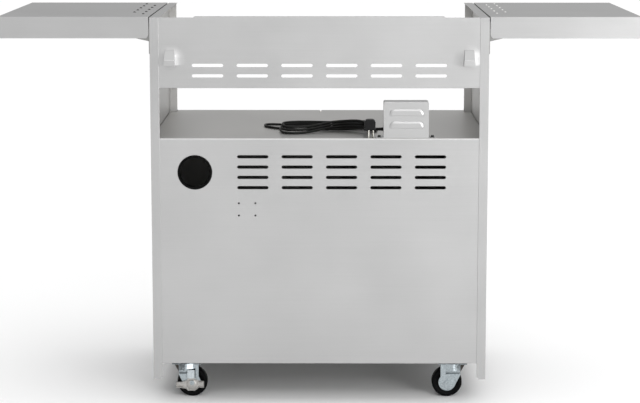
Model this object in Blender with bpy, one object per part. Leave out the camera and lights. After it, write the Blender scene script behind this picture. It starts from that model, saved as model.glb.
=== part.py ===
"""Stainless grill cart on four casters, seen from its rear in the photograph.

Frame: metres, +Z up, floor at Z = 0. The rear of the cart faces -Y, its doors face +Y,
and +X is on the right for someone who looks at the rear. X = 0 is the middle plane.
"""
import math

import bmesh
import bpy
from mathutils import Matrix, Vector

# Sheet metal and clearances
SHEET = 0.0010              # thickness of the cabinet's stainless sheet
THICK_SHEET = 0.0015        # thickness of the floor, the shelf brackets and the hooks
TOUCH = 0.0003              # clearance between two pieces that touch
SLIDE = 0.0010              # clearance beside a piece that turns

# Cabinet
BODY_WIDTH = 0.822          # over the two side panels
BODY_DEPTH = 0.580          # rear plane to front plane of the side panels
BODY_TOP = 0.960            # top of the side panels above the floor
SIDE_BOTTOM = 0.064         # lower end of the side panels
REAR_FLANGE = 0.022         # width of a side panel's rear flange
FRONT_FLANGE = 0.020        # width of a side panel's front flange
TOP_FLANGE = 0.023          # width of a side panel's top flange
LEG_CHAMFER = 0.006         # cut at the lower inner corner of each flange
BASE_BOTTOM = 0.1035        # underside of the floor panel
BASE_FLANGE = 0.020         # height of the floor panel's turned-up edges
LOWER_PANEL_RISE = 0.0005   # lower rear panel's lower edge above the floor's underside
DECK_TOP = 0.6664           # top of the deck, which covers the cupboard
DECK_REAR_FLANGE = 0.020
DECK_FRONT_FLANGE = 0.025
DECK_SIDE_FLANGE = 0.015
DECK_SIDE_GAP = 0.0010      # seam between deck and side panel
DECK_NOTCH = 0.034          # depth of the deck's corner notches at the front
DECK_FRONT_SETBACK = 0.003
DECK_MID_NOTCH_WIDTH = 0.006
DECK_MID_NOTCH_DEPTH = 0.012

# Rear panels and their openings
UPPER_HEIGHT = 0.1713       # upper panel's lower edge below the body's top
UPPER_RAISE = 0.0025        # how far the upper panel's middle stands above its ends
UPPER_RAISED_HALF = 0.305   # half width of that raised middle
UPPER_RETURN = 0.012        # depth of the upper panel's bottom return and top hem
UPPER_HEM_INSET = 0.004     # ends of the hem inside the raised middle
SLOT_LENGTH = 0.0765
SLOT_HEIGHT = 0.0080
SLOT_PITCH_X = 0.1084
SLOT_PITCH_Z = 0.0254
UPPER_SLOT_COLUMN_COUNT = 6
UPPER_SLOT_ROW_COUNT = 2
UPPER_SLOT_DROP = 0.1414    # centre of the lowest slot row below the body's top
LOWER_SLOT_COLUMN_COUNT = 5
LOWER_SLOT_ROW_COUNT = 4
LOWER_SLOT_DROP = 0.1220    # centre of the lowest slot row below the deck's top
LOWER_SLOT_SHIFT_COUNT = 1  # columns that the lower slots lie to the right of the middle
HOSE_HOLE_X = -0.3041
HOSE_HOLE_DROP = 0.0844     # centre of the gas hose hole below the deck's top
HOSE_HOLE_RADIUS = 0.0398
GROMMET_WALL = 0.0030
GROMMET_COVER = 0.0027      # how far its lip covers the panel round the hole
GROMMET_LIP = 0.0018        # thickness of the lip
GROMMET_CHAMFER = 0.0010
GROMMET_DEPTH = 0.0090      # how far the ring reaches in from the panel's face
FIXING_X = -0.1768          # middle of the four small holes
FIXING_DROP = 0.1759        # the same, below the deck's top
FIXING_SPACING = (0.0404, 0.0304)
FIXING_RADIUS = 0.0025

# Hooks on the upper panel
HOOK_X = 0.3626
HOOK_WIDTH = 0.030
HOOK_DROP = 0.078           # hook's top below the body's top
HOOK_HEIGHT = 0.038
HOOK_OUT = 0.022            # how far a hook stands out from the rear plane
HOOK_RIDGE = 0.0053         # width of a hook's level top in front of the rear plane
HOOK_SLOPE = 0.024          # height of a hook's sloping front

# Doors
DOOR_GAP = 0.004            # between a door's back and the front plane
DOOR_THICKNESS = 0.018
DOOR_BOTTOM_GAP = 0.0020    # door's lower edge above the cabinet floor's underside
DOOR_TOP_GAP = 0.0009       # door's upper edge below the deck's top
DOOR_SEAM = 0.003           # between the two doors
DOOR_EDGE_INSET = 0.0005    # door edge inside the cabinet's width
DOOR_PIVOT_INSET = 0.008    # pivot axis from the door's outer edge
PIN_RADIUS = 0.0030
PIN_HOLE_RADIUS = 0.0036
PIN_LENGTH = 0.012
HINGE_WIDTH = 0.018
HINGE_PLATE = 0.002
HINGE_LEAF = 0.023
HANDLE_X = 0.040
HANDLE_DROP = 0.1755        # middle of a handle below the door's top
HANDLE_LENGTH = 0.260
HANDLE_RADIUS = 0.0065
HANDLE_POST_RADIUS = 0.0050
HANDLE_POST_SPACING = 0.200
HANDLE_OUT = 0.038          # how far a handle stands out from its door
CATCH_WIDTH = 0.060
CATCH_BODY = 0.026          # depth of the catch behind the deck's front flange
CATCH_NECK = 0.010          # depth of its lower part that passes under the flange there
CATCH_DROP = 0.0364         # catch's lower face below the deck's top
STRIKE_SIZE = (0.020, 0.0015, 0.008)
STRIKE_MIDDLE = 0.018       # middle of a strike plate from the middle plane

# Side shelves
SHELF_GAP = 0.0024          # between a shelf's inner edge and the side panel
SHELF_OUTER = 0.779         # outer edge of a shelf from the middle plane
SHELF_RISE = 0.0015         # shelf's top above the body's top
SHELF_SKIRT = 0.052
SHELF_REAR_INSET = 0.002    # shelf's rear face from the rear plane
SHELF_DEPTH = 0.561
SHELF_PIVOT_OUT = 0.018     # shelf pivot from the side panel's outer face
SHELF_PIVOT_DROP = 0.0395   # shelf pivot below the shelf's top
SHELF_INNER_SKIRT = 0.0315  # height of the shelf's inner skirt
STUD_RADIUS = 0.004
STUD_HOLE_RADIUS = 0.0047
STUD_LENGTH = 0.006
BRACKET_LOWER_DROP = 0.0895 # bracket's lower and upper edge below the shelf's top
BRACKET_UPPER_DROP = 0.0115
BRACKET_ARM = 0.032         # length of a bracket's arm from the side panel
BRACKET_DROP = 0.0075       # how far an arm's root hangs below the shelf
BRACKET_LOBE_RADIUS = 0.0138
BRACKET_STEP = 0.0026       # arm's upper edge, from the shelf's inner edge

# Casters
WHEEL_RADIUS = 0.038
WHEEL_WIDTH = 0.030
WHEEL_HUB_WIDTH = 0.031
WHEEL_HUB_RADIUS = 0.012
WHEEL_RIM = 0.008           # inner edge of the tyre's side, from the tread
WHEEL_DISH = 0.0035         # depth of the wheel's side there
TYRE_SHOULDER = (0.006, 0.0045)
AXLE_RADIUS = 0.0040
AXLE_BORE = 0.0046
AXLE_HEAD_RADIUS = 0.0065
AXLE_HEAD_HEIGHT = 0.0040
TRAIL = 0.0294              # wheel centre from the swivel axis
CASTER_X = 0.350
CASTER_INSET_Y = 0.087      # swivel axis from the rear or front plane
CASTER_PLATE = 0.062
CASTER_PLATE_THICKNESS = 0.0025
RACEWAY_RADIUS = 0.023
RACEWAY_CONE = (0.003, 0.004)
FORK_SHEET = 0.0025
FORK_TOP = 0.0862
FORK_CLEARANCE = 0.0010     # between the wheel's hub and a fork leg
FORK_BACK = 0.0460          # leg's straight edge from the swivel axis, towards the wheel
FORK_FRONT = 0.0208         # leg's upper corner on the other side of the swivel axis
LEG_END_RADIUS = 0.0215
LEG_SLOPE_START = -28.0     # degrees at which the sloping edge meets the leg's round end
KINGPIN_RADIUS = 0.0050
KINGPIN_HEAD_RADIUS = 0.0080
KINGPIN_HEAD_HEIGHTS = (0.003, 0.004)  # of its rim and its middle
BRAKE_PLATE = 0.0030
BRAKE_OUTLINE = (           # across X and Z from the axle, on a left caster
    (-0.040, -0.016), (-0.022, -0.019), (-0.012, -0.023), (0.012, -0.023),
    (0.020, -0.016), (0.030, -0.016), (0.030, 0.001), (0.018, 0.002), (0.006, 0.010),
    (0.006, 0.034), (-0.012, 0.034), (-0.012, 0.008), (-0.022, 0.002), (-0.040, 0.001),
)
BRAKE_PADS = ((-0.040, -0.024), (0.016, 0.030))
BRAKE_PAD_HEIGHTS = (-0.0015, 0.0010)
BRAKE_PAD_OUT = 0.014       # how far a foot pad stands out from the lever's back
BRAKE_BORE_REACH = 0.010

# Transformer box on the deck
BOX_X = 0.2113
BOX_WIDTH = 0.110
BOX_DEPTH = 0.044
BOX_HEIGHT = 0.0884
BOX_REAR_INSET = 0.002
BOX_FOOT = 0.018
BOX_CORNER = 0.004
CORE_SIZE = (0.066, 0.034, 0.056)
COIL_SIZE = (0.040, 0.039, 0.040)
COIL_GAP = 0.0015           # between the coil and the cover's rear wall
CORE_SHIFT = 0.010          # core's middle right of the cover's middle

# Mains cord: the distances from the rear plane are called depths
CORD_RADIUS = 0.0029
CORD_STRAIGHT = 0.010       # straight end of a free stretch
CORD_POINT_SPACING = 0.0145  # between points of the free stretches
CORD_EXIT_DEPTH = 0.038
CORD_EXIT_HEIGHT = 0.0178   # above the deck's top
RELIEF_LENGTH = 0.020
RELIEF_RADII = (0.0048, 0.0037)
RELIEF_COLLAR_RADIUS = 0.0075
RELIEF_COLLAR_ENDS = (0.0025, 0.0030)  # collar's rim and foot from the cover's wall
RELIEF_INSIDE = 0.004       # how far the relief reaches into the cover
RELIEF_RUN = 0.002          # straight cord past the relief
HANK_STEPS = 24             # points in one loop
HANK_PITCH = 0.0063         # height of one layer
HANK_INWARD = 0.0030        # how much shorter each loop is than the one below
HANK_WAIST_X = 0.0465
HANK_DEPTH = 0.137          # depth of the waist
HANK_WAIST_HALF = 0.0034    # middle of a run from the middle of the waist
HANK_RIGHT_REACH = 0.093
HANK_RIGHT_WIDTH = 0.044
HANK_LEFT_REACH = 0.149
HANK_LEFT_WIDTHS = (0.102, 0.075, 0.052)  # of the second, third and fourth loop
HANK_LEFT_SLANT = -0.020    # how far the loops' left ends lie nearer to the rear plane
HANK_LONG_REACH = 0.188     # the lowest loop lies further out, and further from the rear
HANK_LONG_WIDTH = 0.082
HANK_LONG_SLANT = 0.094
HANK_OPENING = 0.3          # how soon a loop opens beside the waist
HANK_START = 0.0            # degrees counted from the right end, over the far side
HANK_END = 3 * 360.0 + 285.0
HANK_CLIMB = (240.0, 300.0) # degrees between which each loop climbs one layer
HANK_DROP = (165.0, 205.0)  # degrees between which the upper loops come down beside
HANK_RISE = (232.0, 268.0)  # the lowest one, and go up again

# Plug
PLUG_X = 0.1235
PLUG_SIZE = (0.027, 0.024, 0.0257)
PLUG_BEVEL = 0.005
PLUG_REAR_DEPTH = 0.006     # plug's rear face from the rear plane
BLADE_LENGTH = 0.0185
BLADE_SIZE = (0.0015, 0.0063)
BLADE_HALF_SPACING = 0.00635
BLADE_TURN = 25.0           # degrees that the plug is turned about its upright axis
GROUND_RADIUS = 0.0024
GROUND_OFFSET = 0.0090
BLADES_BACK = 0.003         # blades' middle behind the plug's middle

# Planes that follow from the sizes above
HALF_WIDTH = BODY_WIDTH / 2
TOTAL_DEPTH = HOOK_OUT + BODY_DEPTH + DOOR_GAP + DOOR_THICKNESS + HANDLE_OUT
Y_REAR = -TOTAL_DEPTH / 2 + HOOK_OUT
Y_FRONT = Y_REAR + BODY_DEPTH
PANEL_Y = Y_REAR + SHEET + TOUCH              # outer face of the rear panels
INNER_WALL = HALF_WIDTH - SHEET
ON_DECK = DECK_TOP + TOUCH
UPPER_BOTTOM = BODY_TOP - UPPER_HEIGHT
UPPER_SLOT_LOW = BODY_TOP - UPPER_SLOT_DROP
LOWER_SLOT_LOW = DECK_TOP - LOWER_SLOT_DROP
HOSE_HOLE = (HOSE_HOLE_X, DECK_TOP - HOSE_HOLE_DROP)
FIXING_HOLES = (FIXING_X, DECK_TOP - FIXING_DROP)
HOOK_TOP = BODY_TOP - HOOK_DROP
HOOK_BOTTOM = HOOK_TOP - HOOK_HEIGHT
DOOR_BOTTOM = BASE_BOTTOM + DOOR_BOTTOM_GAP
DOOR_TOP = DECK_TOP - DOOR_TOP_GAP
HANDLE_Z = DOOR_TOP - HANDLE_DROP
CORD_EXIT_Z = DECK_TOP + CORD_EXIT_HEIGHT
SHELF_TOP = BODY_TOP + SHELF_RISE
SHELF_PIVOT_Z = SHELF_TOP - SHELF_PIVOT_DROP
SHELF_INNER_SKIRT_Z = SHELF_TOP - SHELF_INNER_SKIRT
BRACKET_BOTTOM = SHELF_TOP - BRACKET_LOWER_DROP
BRACKET_TOP = SHELF_TOP - BRACKET_UPPER_DROP
DOOR_BACK = Y_FRONT + DOOR_GAP
DOOR_FACE = DOOR_BACK + DOOR_THICKNESS
DOOR_PIVOT_X = HALF_WIDTH - DOOR_EDGE_INSET - DOOR_PIVOT_INSET
DOOR_PIVOT_Y = DOOR_BACK + DOOR_PIVOT_INSET
SHELF_INNER = HALF_WIDTH + SHELF_GAP
SHELF_REAR = Y_REAR + SHELF_REAR_INSET
SHELF_FRONT = SHELF_REAR + SHELF_DEPTH
SHELF_BOTTOM = SHELF_TOP - SHELF_SKIRT
SHELF_PIVOT_X = HALF_WIDTH + SHELF_PIVOT_OUT
LOWER_BOTTOM = BASE_BOTTOM + LOWER_PANEL_RISE


def opaque(red, green, blue):
    """Linear colour with an alpha of 1."""
    return (red, green, blue, 1.0)


STEEL = opaque(0.56, 0.56, 0.55)
ZINC = opaque(0.50, 0.54, 0.56)
BRASS_NICKEL = opaque(0.75, 0.74, 0.70)
BLACK_RUBBER = opaque(0.012, 0.012, 0.012)
BLACK_PLASTIC = opaque(0.015, 0.015, 0.016)
DARK_IRON = opaque(0.10, 0.10, 0.11)


def clear_scene():
    """Remove what the scene holds."""
    for item in list(bpy.data.objects):
        bpy.data.objects.remove(item, do_unlink=True)


def make_material(name, colour, roughness, metallic):
    """Principled material of one sub-part."""
    material = bpy.data.materials.new(name)
    material.use_nodes = True
    shader = material.node_tree.nodes["Principled BSDF"]
    shader.inputs["Base Color"].default_value = colour
    shader.inputs["Roughness"].default_value = roughness
    shader.inputs["Metallic"].default_value = metallic
    material.diffuse_color = colour
    return material


def object_from(name, mesh_builder):
    """Object with the given name around a finished bmesh, faces pointing out."""
    bmesh.ops.recalc_face_normals(mesh_builder, faces=mesh_builder.faces)
    mesh = bpy.data.meshes.new(name)
    mesh_builder.to_mesh(mesh)
    mesh_builder.free()
    item = bpy.data.objects.new(name, mesh)
    bpy.context.scene.collection.objects.link(item)
    return item


def place(point, axis):
    """Point (u, v, w) of an outline, with w along the axis, in world order."""
    u, v, w = point
    if axis == "X":
        return Vector((w, u, v))
    if axis == "Y":
        return Vector((u, w, v))
    return Vector((u, v, w))


def add_prism(builder, outline, axis, low, high):
    """Extrude a closed outline along an axis into the bmesh."""
    corners = [builder.verts.new(place((u, v, low), axis)) for u, v in outline]
    face = builder.faces.new(corners)
    grown = bmesh.ops.extrude_face_region(builder, geom=[face])
    moved = [part for part in grown["geom"] if isinstance(part, bmesh.types.BMVert)]
    offset = place((0.0, 0.0, high - low), axis)
    bmesh.ops.translate(builder, verts=moved, vec=offset)


def prism(name, outline, axis, low, high):
    """Object made of one extruded outline."""
    builder = bmesh.new()
    add_prism(builder, outline, axis, low, high)
    return object_from(name, builder)


def prisms(name, outlines, axis, low, high):
    """Object made of several extruded outlines that don't meet."""
    builder = bmesh.new()
    for outline in outlines:
        add_prism(builder, outline, axis, low, high)
    return object_from(name, builder)


def rectangle(low_u, high_u, low_v, high_v):
    """Outline of a rectangle."""
    return [(low_u, low_v), (high_u, low_v), (high_u, high_v), (low_u, high_v)]


def cuboid(name, span_x, span_y, span_z):
    """Box from its two ends along each axis, in either order."""
    x_low, x_high = sorted(span_x)
    y_low, y_high = sorted(span_y)
    z_low, z_high = sorted(span_z)
    return prism(name, rectangle(x_low, x_high, y_low, y_high), "Z", z_low, z_high)


def arc(centre_u, centre_v, radius, start, end, steps):
    """Points of an arc, angles in degrees, both ends included."""
    points = []
    for step in range(steps + 1):
        angle = math.radians(start + (end - start) * step / steps)
        u = centre_u + radius * math.cos(angle)
        v = centre_v + radius * math.sin(angle)
        points.append((u, v))
    return points


def circle(centre_u, centre_v, radius, steps):
    """Outline of a circle."""
    return arc(centre_u, centre_v, radius, 0.0, 360.0, steps)[:-1]


def stadium(centre_u, centre_v, length, height, steps=4):
    """Outline of a slot with round ends."""
    reach = (length - height) / 2
    right = arc(centre_u + reach, centre_v, height / 2, -90.0, 90.0, steps)
    left = arc(centre_u - reach, centre_v, height / 2, 90.0, 270.0, steps)
    return right + left


def turned(name, profile, axis, centre, steps):
    """Solid of revolution: a closed profile of (radius, height) about an axis."""
    builder = bmesh.new()
    rings = []
    for step in range(steps):
        angle = 2 * math.pi * step / steps
        ring = []
        for radius, height in profile:
            u = radius * math.cos(angle)
            v = radius * math.sin(angle)
            ring.append(builder.verts.new(place((u, v, height), axis) + Vector(centre)))
        rings.append(ring)
    count = len(profile)
    for step in range(steps):
        here = rings[step]
        after = rings[(step + 1) % steps]
        for index in range(count):
            following = (index + 1) % count
            builder.faces.new((here[index], after[index], after[following], here[following]))
    bmesh.ops.remove_doubles(builder, verts=builder.verts, dist=1e-7)
    return object_from(name, builder)


def rod(name, axis, centre, radius, low, high, steps):
    """Plain cylinder along an axis; low and high are absolute along it."""
    u, v = [value for key, value in zip("XYZ", centre) if key != axis]
    return prism(name, circle(u, v, radius, steps), axis, low, high)


def apply_boolean(target, tool, operation):
    """Join a tool to the target or cut it out, then remove the tool."""
    modifier = target.modifiers.new(operation, "BOOLEAN")
    modifier.operation = operation
    modifier.solver = "EXACT"
    modifier.object = tool
    graph = bpy.context.evaluated_depsgraph_get()
    result = bpy.data.meshes.new_from_object(target.evaluated_get(graph))
    target.modifiers.remove(modifier)
    target.data = result
    bpy.data.objects.remove(tool, do_unlink=True)


def join(target, *tools):
    """Union of the target with each tool."""
    for tool in tools:
        apply_boolean(target, tool, "UNION")
    return target


def cut(target, *tools):
    """Cut each tool out of the target."""
    for tool in tools:
        apply_boolean(target, tool, "DIFFERENCE")
    return target


def tidy_mesh(item):
    """Merge flat neighbouring faces that a boolean has split."""
    builder = bmesh.new()
    builder.from_mesh(item.data)
    bmesh.ops.remove_doubles(builder, verts=builder.verts, dist=1e-6)
    bmesh.ops.dissolve_limit(
        builder, angle_limit=math.radians(0.05), verts=builder.verts, edges=builder.edges
    )
    bmesh.ops.recalc_face_normals(builder, faces=builder.faces)
    builder.to_mesh(item.data)
    builder.free()


def finish(item, colour, roughness, metallic, pivot=None, smooth=False):
    """Name the mesh, give the sub-part its material and put its origin on its pivot."""
    tidy_mesh(item)
    item.data.name = item.name
    item.data.materials.clear()
    item.data.materials.append(make_material(item.name, colour, roughness, metallic))
    if smooth:
        item.data.shade_smooth()
        item.data.set_sharp_from_angle(angle=math.radians(35.0))
    if pivot is not None:
        item.data.transform(Matrix.Translation(-Vector(pivot)))
        item.location = pivot
    return item


def side_name(side):
    """Word for the side of X that a sign stands for."""
    return "left" if side < 0 else "right"


def mirrored(outline, side):
    """Outline with its first coordinate on the given side."""
    return [(side * u, v) for u, v in outline]


def make_side_panel(side):
    """Side wall with its rear, front and top flanges, folded from one sheet."""
    rear_edge = HALF_WIDTH - REAR_FLANGE
    front_edge = HALF_WIDTH - FRONT_FLANGE
    section = [
        (rear_edge, Y_REAR), (HALF_WIDTH, Y_REAR), (HALF_WIDTH, Y_FRONT), (front_edge, Y_FRONT),
        (front_edge, Y_FRONT - SHEET), (INNER_WALL, Y_FRONT - SHEET),
        (INNER_WALL, Y_REAR + SHEET), (rear_edge, Y_REAR + SHEET),
    ]
    name = "side_panel_" + side_name(side)
    panel = prism(name, mirrored(section, side), "Z", SIDE_BOTTOM, BODY_TOP)
    inside = SHEET / 2
    flange = cuboid(
        "flange",
        (side * (HALF_WIDTH - TOP_FLANGE), side * (HALF_WIDTH - inside)),
        (Y_REAR + inside, Y_FRONT - inside),
        (BODY_TOP - SHEET, BODY_TOP),
    )
    join(panel, flange)
    corners = []
    for edge in (rear_edge, front_edge):
        corners.append(mirrored([
            (edge - SHEET, SIDE_BOTTOM - SHEET),
            (edge + LEG_CHAMFER, SIDE_BOTTOM - SHEET),
            (edge + LEG_CHAMFER, SIDE_BOTTOM),
            (edge, SIDE_BOTTOM + LEG_CHAMFER),
            (edge - SHEET, SIDE_BOTTOM + LEG_CHAMFER),
        ], side))
    cut(panel, prism("corner", corners[0], "Y", Y_REAR - SHEET, Y_REAR + 2 * SHEET))
    cut(panel, prism("corner", corners[1], "Y", Y_FRONT - 2 * SHEET, Y_FRONT + SHEET))
    return finish(panel, STEEL, 0.34, 1.0)


def slot_outlines(columns, rows, lowest, shift):
    """Outlines of a grid of ventilation slots, its columns on the shared pitch."""
    outlines = []
    for column in range(columns):
        x = SLOT_PITCH_X * (column - (columns - 1) / 2 + shift)
        for row in range(rows):
            outlines.append(stadium(x, lowest + SLOT_PITCH_Z * row, SLOT_LENGTH, SLOT_HEIGHT))
    return outlines


def make_rear_upper_panel():
    """Upper rear panel with two rows of slots, behind the side panels' flanges."""
    end = INNER_WALL - SLIDE
    shoulder = HALF_WIDTH - TOP_FLANGE - TOUCH
    low_top = BODY_TOP - SHEET - TOUCH
    raised = BODY_TOP + UPPER_RAISE
    outline = [
        (-end, UPPER_BOTTOM), (end, UPPER_BOTTOM), (end, low_top), (shoulder, low_top),
        (shoulder, BODY_TOP), (UPPER_RAISED_HALF, BODY_TOP),
        (UPPER_RAISED_HALF - UPPER_RAISE, raised), (UPPER_RAISE - UPPER_RAISED_HALF, raised),
        (-UPPER_RAISED_HALF, BODY_TOP), (-shoulder, BODY_TOP),
        (-shoulder, low_top), (-end, low_top),
    ]
    panel = prism("rear_upper_panel", outline, "Y", PANEL_Y, PANEL_Y + SHEET)
    inside = SHEET / 2
    join(panel, cuboid(
        "return", (-shoulder, shoulder), (PANEL_Y + inside, PANEL_Y + UPPER_RETURN),
        (UPPER_BOTTOM, UPPER_BOTTOM + SHEET),
    ))
    join(panel, cuboid(
        "hem", (UPPER_HEM_INSET - UPPER_RAISED_HALF, UPPER_RAISED_HALF - UPPER_HEM_INSET),
        (PANEL_Y + inside, PANEL_Y + UPPER_RETURN), (raised - SHEET, raised),
    ))
    slots = slot_outlines(UPPER_SLOT_COLUMN_COUNT, UPPER_SLOT_ROW_COUNT, UPPER_SLOT_LOW, 0)
    cut(panel, prisms("slots", slots, "Y", PANEL_Y - SHEET, PANEL_Y + 2 * SHEET))
    return finish(panel, STEEL, 0.34, 1.0)


def make_rear_lower_panel():
    """Lower rear panel with four rows of slots, the hose hole and four fixing holes."""
    end = INNER_WALL - SLIDE
    outline = rectangle(-end, end, LOWER_BOTTOM, DECK_TOP)
    panel = prism("rear_lower_panel", outline, "Y", PANEL_Y, PANEL_Y + SHEET)
    holes = slot_outlines(
        LOWER_SLOT_COLUMN_COUNT, LOWER_SLOT_ROW_COUNT, LOWER_SLOT_LOW, LOWER_SLOT_SHIFT_COUNT / 2)
    holes.append(circle(HOSE_HOLE[0], HOSE_HOLE[1], HOSE_HOLE_RADIUS, 32))
    for across in (-0.5, 0.5):
        for up in (-0.5, 0.5):
            x = FIXING_HOLES[0] + across * FIXING_SPACING[0]
            z = FIXING_HOLES[1] + up * FIXING_SPACING[1]
            holes.append(circle(x, z, FIXING_RADIUS, 8))
    cut(panel, prisms("holes", holes, "Y", PANEL_Y - SHEET, PANEL_Y + 2 * SHEET))
    return finish(panel, STEEL, 0.34, 1.0)


def make_deck_panel():
    """Deck across the cabinet, with edges turned down and notches at its front."""
    half = INNER_WALL - DECK_SIDE_GAP
    rear = PANEL_Y + SHEET + TOUCH
    front = Y_FRONT - DECK_FRONT_SETBACK
    notch_x = HALF_WIDTH - FRONT_FLANGE - SLIDE
    notch_y = front - DECK_NOTCH
    mid = DECK_MID_NOTCH_WIDTH / 2
    mid_y = front - DECK_MID_NOTCH_DEPTH
    outline = [
        (-half, rear), (half, rear), (half, notch_y), (notch_x, notch_y), (notch_x, front),
        (mid, front), (mid, mid_y), (-mid, mid_y), (-mid, front),
        (-notch_x, front), (-notch_x, notch_y), (-half, notch_y),
    ]
    deck = prism("deck_panel", outline, "Z", DECK_TOP - SHEET, DECK_TOP)
    inside = DECK_TOP - SHEET / 2
    join(deck, cuboid(
        "rear", (-half, half), (rear, rear + SHEET), (DECK_TOP - DECK_REAR_FLANGE, inside)))
    for side in (-1, 1):
        join(deck, cuboid(
            "front", (side * mid, side * notch_x), (front - SHEET, front),
            (DECK_TOP - DECK_FRONT_FLANGE, inside)))
        join(deck, cuboid(
            "edge", (side * (half - SHEET), side * half), (rear + SHEET / 2, notch_y),
            (DECK_TOP - DECK_SIDE_FLANGE, inside)))
    return finish(deck, STEEL, 0.36, 1.0)


def make_floor_panel():
    """Cabinet floor with its four edges turned up; the casters bolt to it."""
    half = INNER_WALL - TOUCH
    rear = PANEL_Y + SHEET + TOUCH
    front = Y_FRONT - SHEET - TOUCH
    top = BASE_BOTTOM + BASE_FLANGE
    tray = cuboid("floor_panel", (-half, half), (rear, front), (BASE_BOTTOM, top))
    cut(tray, cuboid(
        "hollow", (-half + THICK_SHEET, half - THICK_SHEET),
        (rear + THICK_SHEET, front - THICK_SHEET), (BASE_BOTTOM + THICK_SHEET, top + SHEET)))
    return finish(tray, STEEL, 0.40, 1.0)


def make_hook(side):
    """Hood-shaped hook on the upper panel, open below and at its back."""
    x = side * HOOK_X
    half = HOOK_WIDTH / 2
    back = PANEL_Y - TOUCH
    out = Y_REAR - HOOK_OUT
    ridge = Y_REAR - HOOK_RIDGE
    shoulder = HOOK_TOP - HOOK_SLOPE
    outer = [
        (back, HOOK_BOTTOM), (back, HOOK_TOP), (ridge, HOOK_TOP), (out, shoulder),
        (out, HOOK_BOTTOM),
    ]
    wall = THICK_SHEET
    inner = [
        (back + wall, HOOK_BOTTOM - wall), (back + wall, HOOK_TOP - wall),
        (ridge + wall / 3, HOOK_TOP - wall), (out + wall, shoulder),
        (out + wall, HOOK_BOTTOM - wall),
    ]
    hook = prism("hook_" + side_name(side), outer, "X", x - half, x + half)
    cut(hook, prism("inside", inner, "X", x - half + wall, x + half - wall))
    return finish(hook, STEEL, 0.30, 1.0)


def make_hose_grommet():
    """Plastic ring that lines the gas hose hole."""
    neck = HOSE_HOLE_RADIUS - TOUCH * 1.5
    bore = neck - GROMMET_WALL
    lip = HOSE_HOLE_RADIUS + GROMMET_COVER
    face = PANEL_Y - TOUCH
    out = face - GROMMET_LIP
    end = PANEL_Y + GROMMET_DEPTH
    profile = [
        (bore, out), (lip - GROMMET_CHAMFER, out), (lip, out + GROMMET_CHAMFER),
        (lip, face), (neck, face), (neck, end), (bore, end),
    ]
    centre = (HOSE_HOLE[0], 0.0, HOSE_HOLE[1])
    ring = turned("hose_grommet", profile, "Y", centre, 32)
    return finish(ring, BLACK_PLASTIC, 0.45, 0.0, smooth=True)


def door_edges(side):
    """Outer and inner edge of a door along X."""
    outer = side * (HALF_WIDTH - DOOR_EDGE_INSET)
    inner = side * DOOR_SEAM / 2
    return outer, inner


def make_door(side):
    """Door skin, liner, handle and the strike plate of its catch."""
    word = side_name(side)
    pivot = (side * DOOR_PIVOT_X, DOOR_PIVOT_Y, (DOOR_BOTTOM + DOOR_TOP) / 2)
    outer, inner = door_edges(side)
    skin = cuboid(
        "door_" + word + "_skin", (inner, outer), (DOOR_BACK, DOOR_FACE), (DOOR_BOTTOM, DOOR_TOP))
    cut(skin, cuboid(
        "hollow", (inner + side * SHEET, outer - side * SHEET),
        (DOOR_BACK - SHEET, DOOR_FACE - SHEET), (DOOR_BOTTOM + SHEET, DOOR_TOP - SHEET)))
    cut(skin, rod(
        "pin_hole", "Z", pivot, PIN_HOLE_RADIUS, DOOR_BOTTOM - SHEET, DOOR_TOP + SHEET, 12))
    finish(skin, STEEL, 0.34, 1.0, pivot)

    inset = SHEET + TOUCH
    liner = cuboid(
        "door_" + word + "_liner", (inner + side * inset, outer - side * inset),
        (DOOR_BACK, DOOR_BACK + SHEET), (DOOR_BOTTOM + inset, DOOR_TOP - inset))
    finish(liner, STEEL, 0.38, 1.0, pivot)

    x = side * HANDLE_X
    bar_y = DOOR_FACE + HANDLE_OUT - HANDLE_RADIUS
    half = HANDLE_LENGTH / 2
    bar = rod(
        "door_" + word + "_handle", "Z", (x, bar_y, 0.0), HANDLE_RADIUS,
        HANDLE_Z - half, HANDLE_Z + half, 16)
    for end in (-0.5, 0.5):
        z = HANDLE_Z + end * HANDLE_POST_SPACING
        join(bar, rod("post", "Y", (x, 0.0, z), HANDLE_POST_RADIUS, DOOR_FACE + TOUCH, bar_y, 12))
    finish(bar, STEEL, 0.22, 1.0, pivot, smooth=True)

    width, thickness, height = STRIKE_SIZE
    strike_low = DECK_TOP - CATCH_DROP + SHEET
    strike = cuboid(
        "strike_plate_" + word,
        (side * (STRIKE_MIDDLE - width / 2), side * (STRIKE_MIDDLE + width / 2)),
        (DOOR_BACK - TOUCH - thickness, DOOR_BACK - TOUCH), (strike_low, strike_low + height))
    finish(strike, ZINC, 0.40, 1.0, pivot)


def make_hinges(side):
    """Two pivot brackets of one door, each with its pin."""
    x_low = side * (HALF_WIDTH - SHEET)
    x_high = side * (HALF_WIDTH - SHEET - HINGE_WIDTH)
    back = Y_FRONT + TOUCH
    reach = DOOR_PIVOT_Y + DOOR_PIVOT_INSET
    for word, edge, up in (("top", DOOR_TOP, 1), ("bottom", DOOR_BOTTOM, -1)):
        face = edge + up * SLIDE
        name = "hinge_" + word + "_" + side_name(side)
        bracket = cuboid(name, (x_low, x_high), (back, reach), (face, face + up * HINGE_PLATE))
        join(bracket, cuboid(
            "leaf", (x_low, x_high), (back, back + HINGE_PLATE),
            (face + up * HINGE_PLATE / 2, face + up * HINGE_LEAF)))
        ends = sorted((edge - up * PIN_LENGTH, face + up * HINGE_PLATE / 2))
        pin = rod("pin", "Z", (side * DOOR_PIVOT_X, DOOR_PIVOT_Y, 0.0), PIN_RADIUS, *ends, 12)
        join(bracket, pin)
        finish(bracket, ZINC, 0.40, 1.0)


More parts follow.
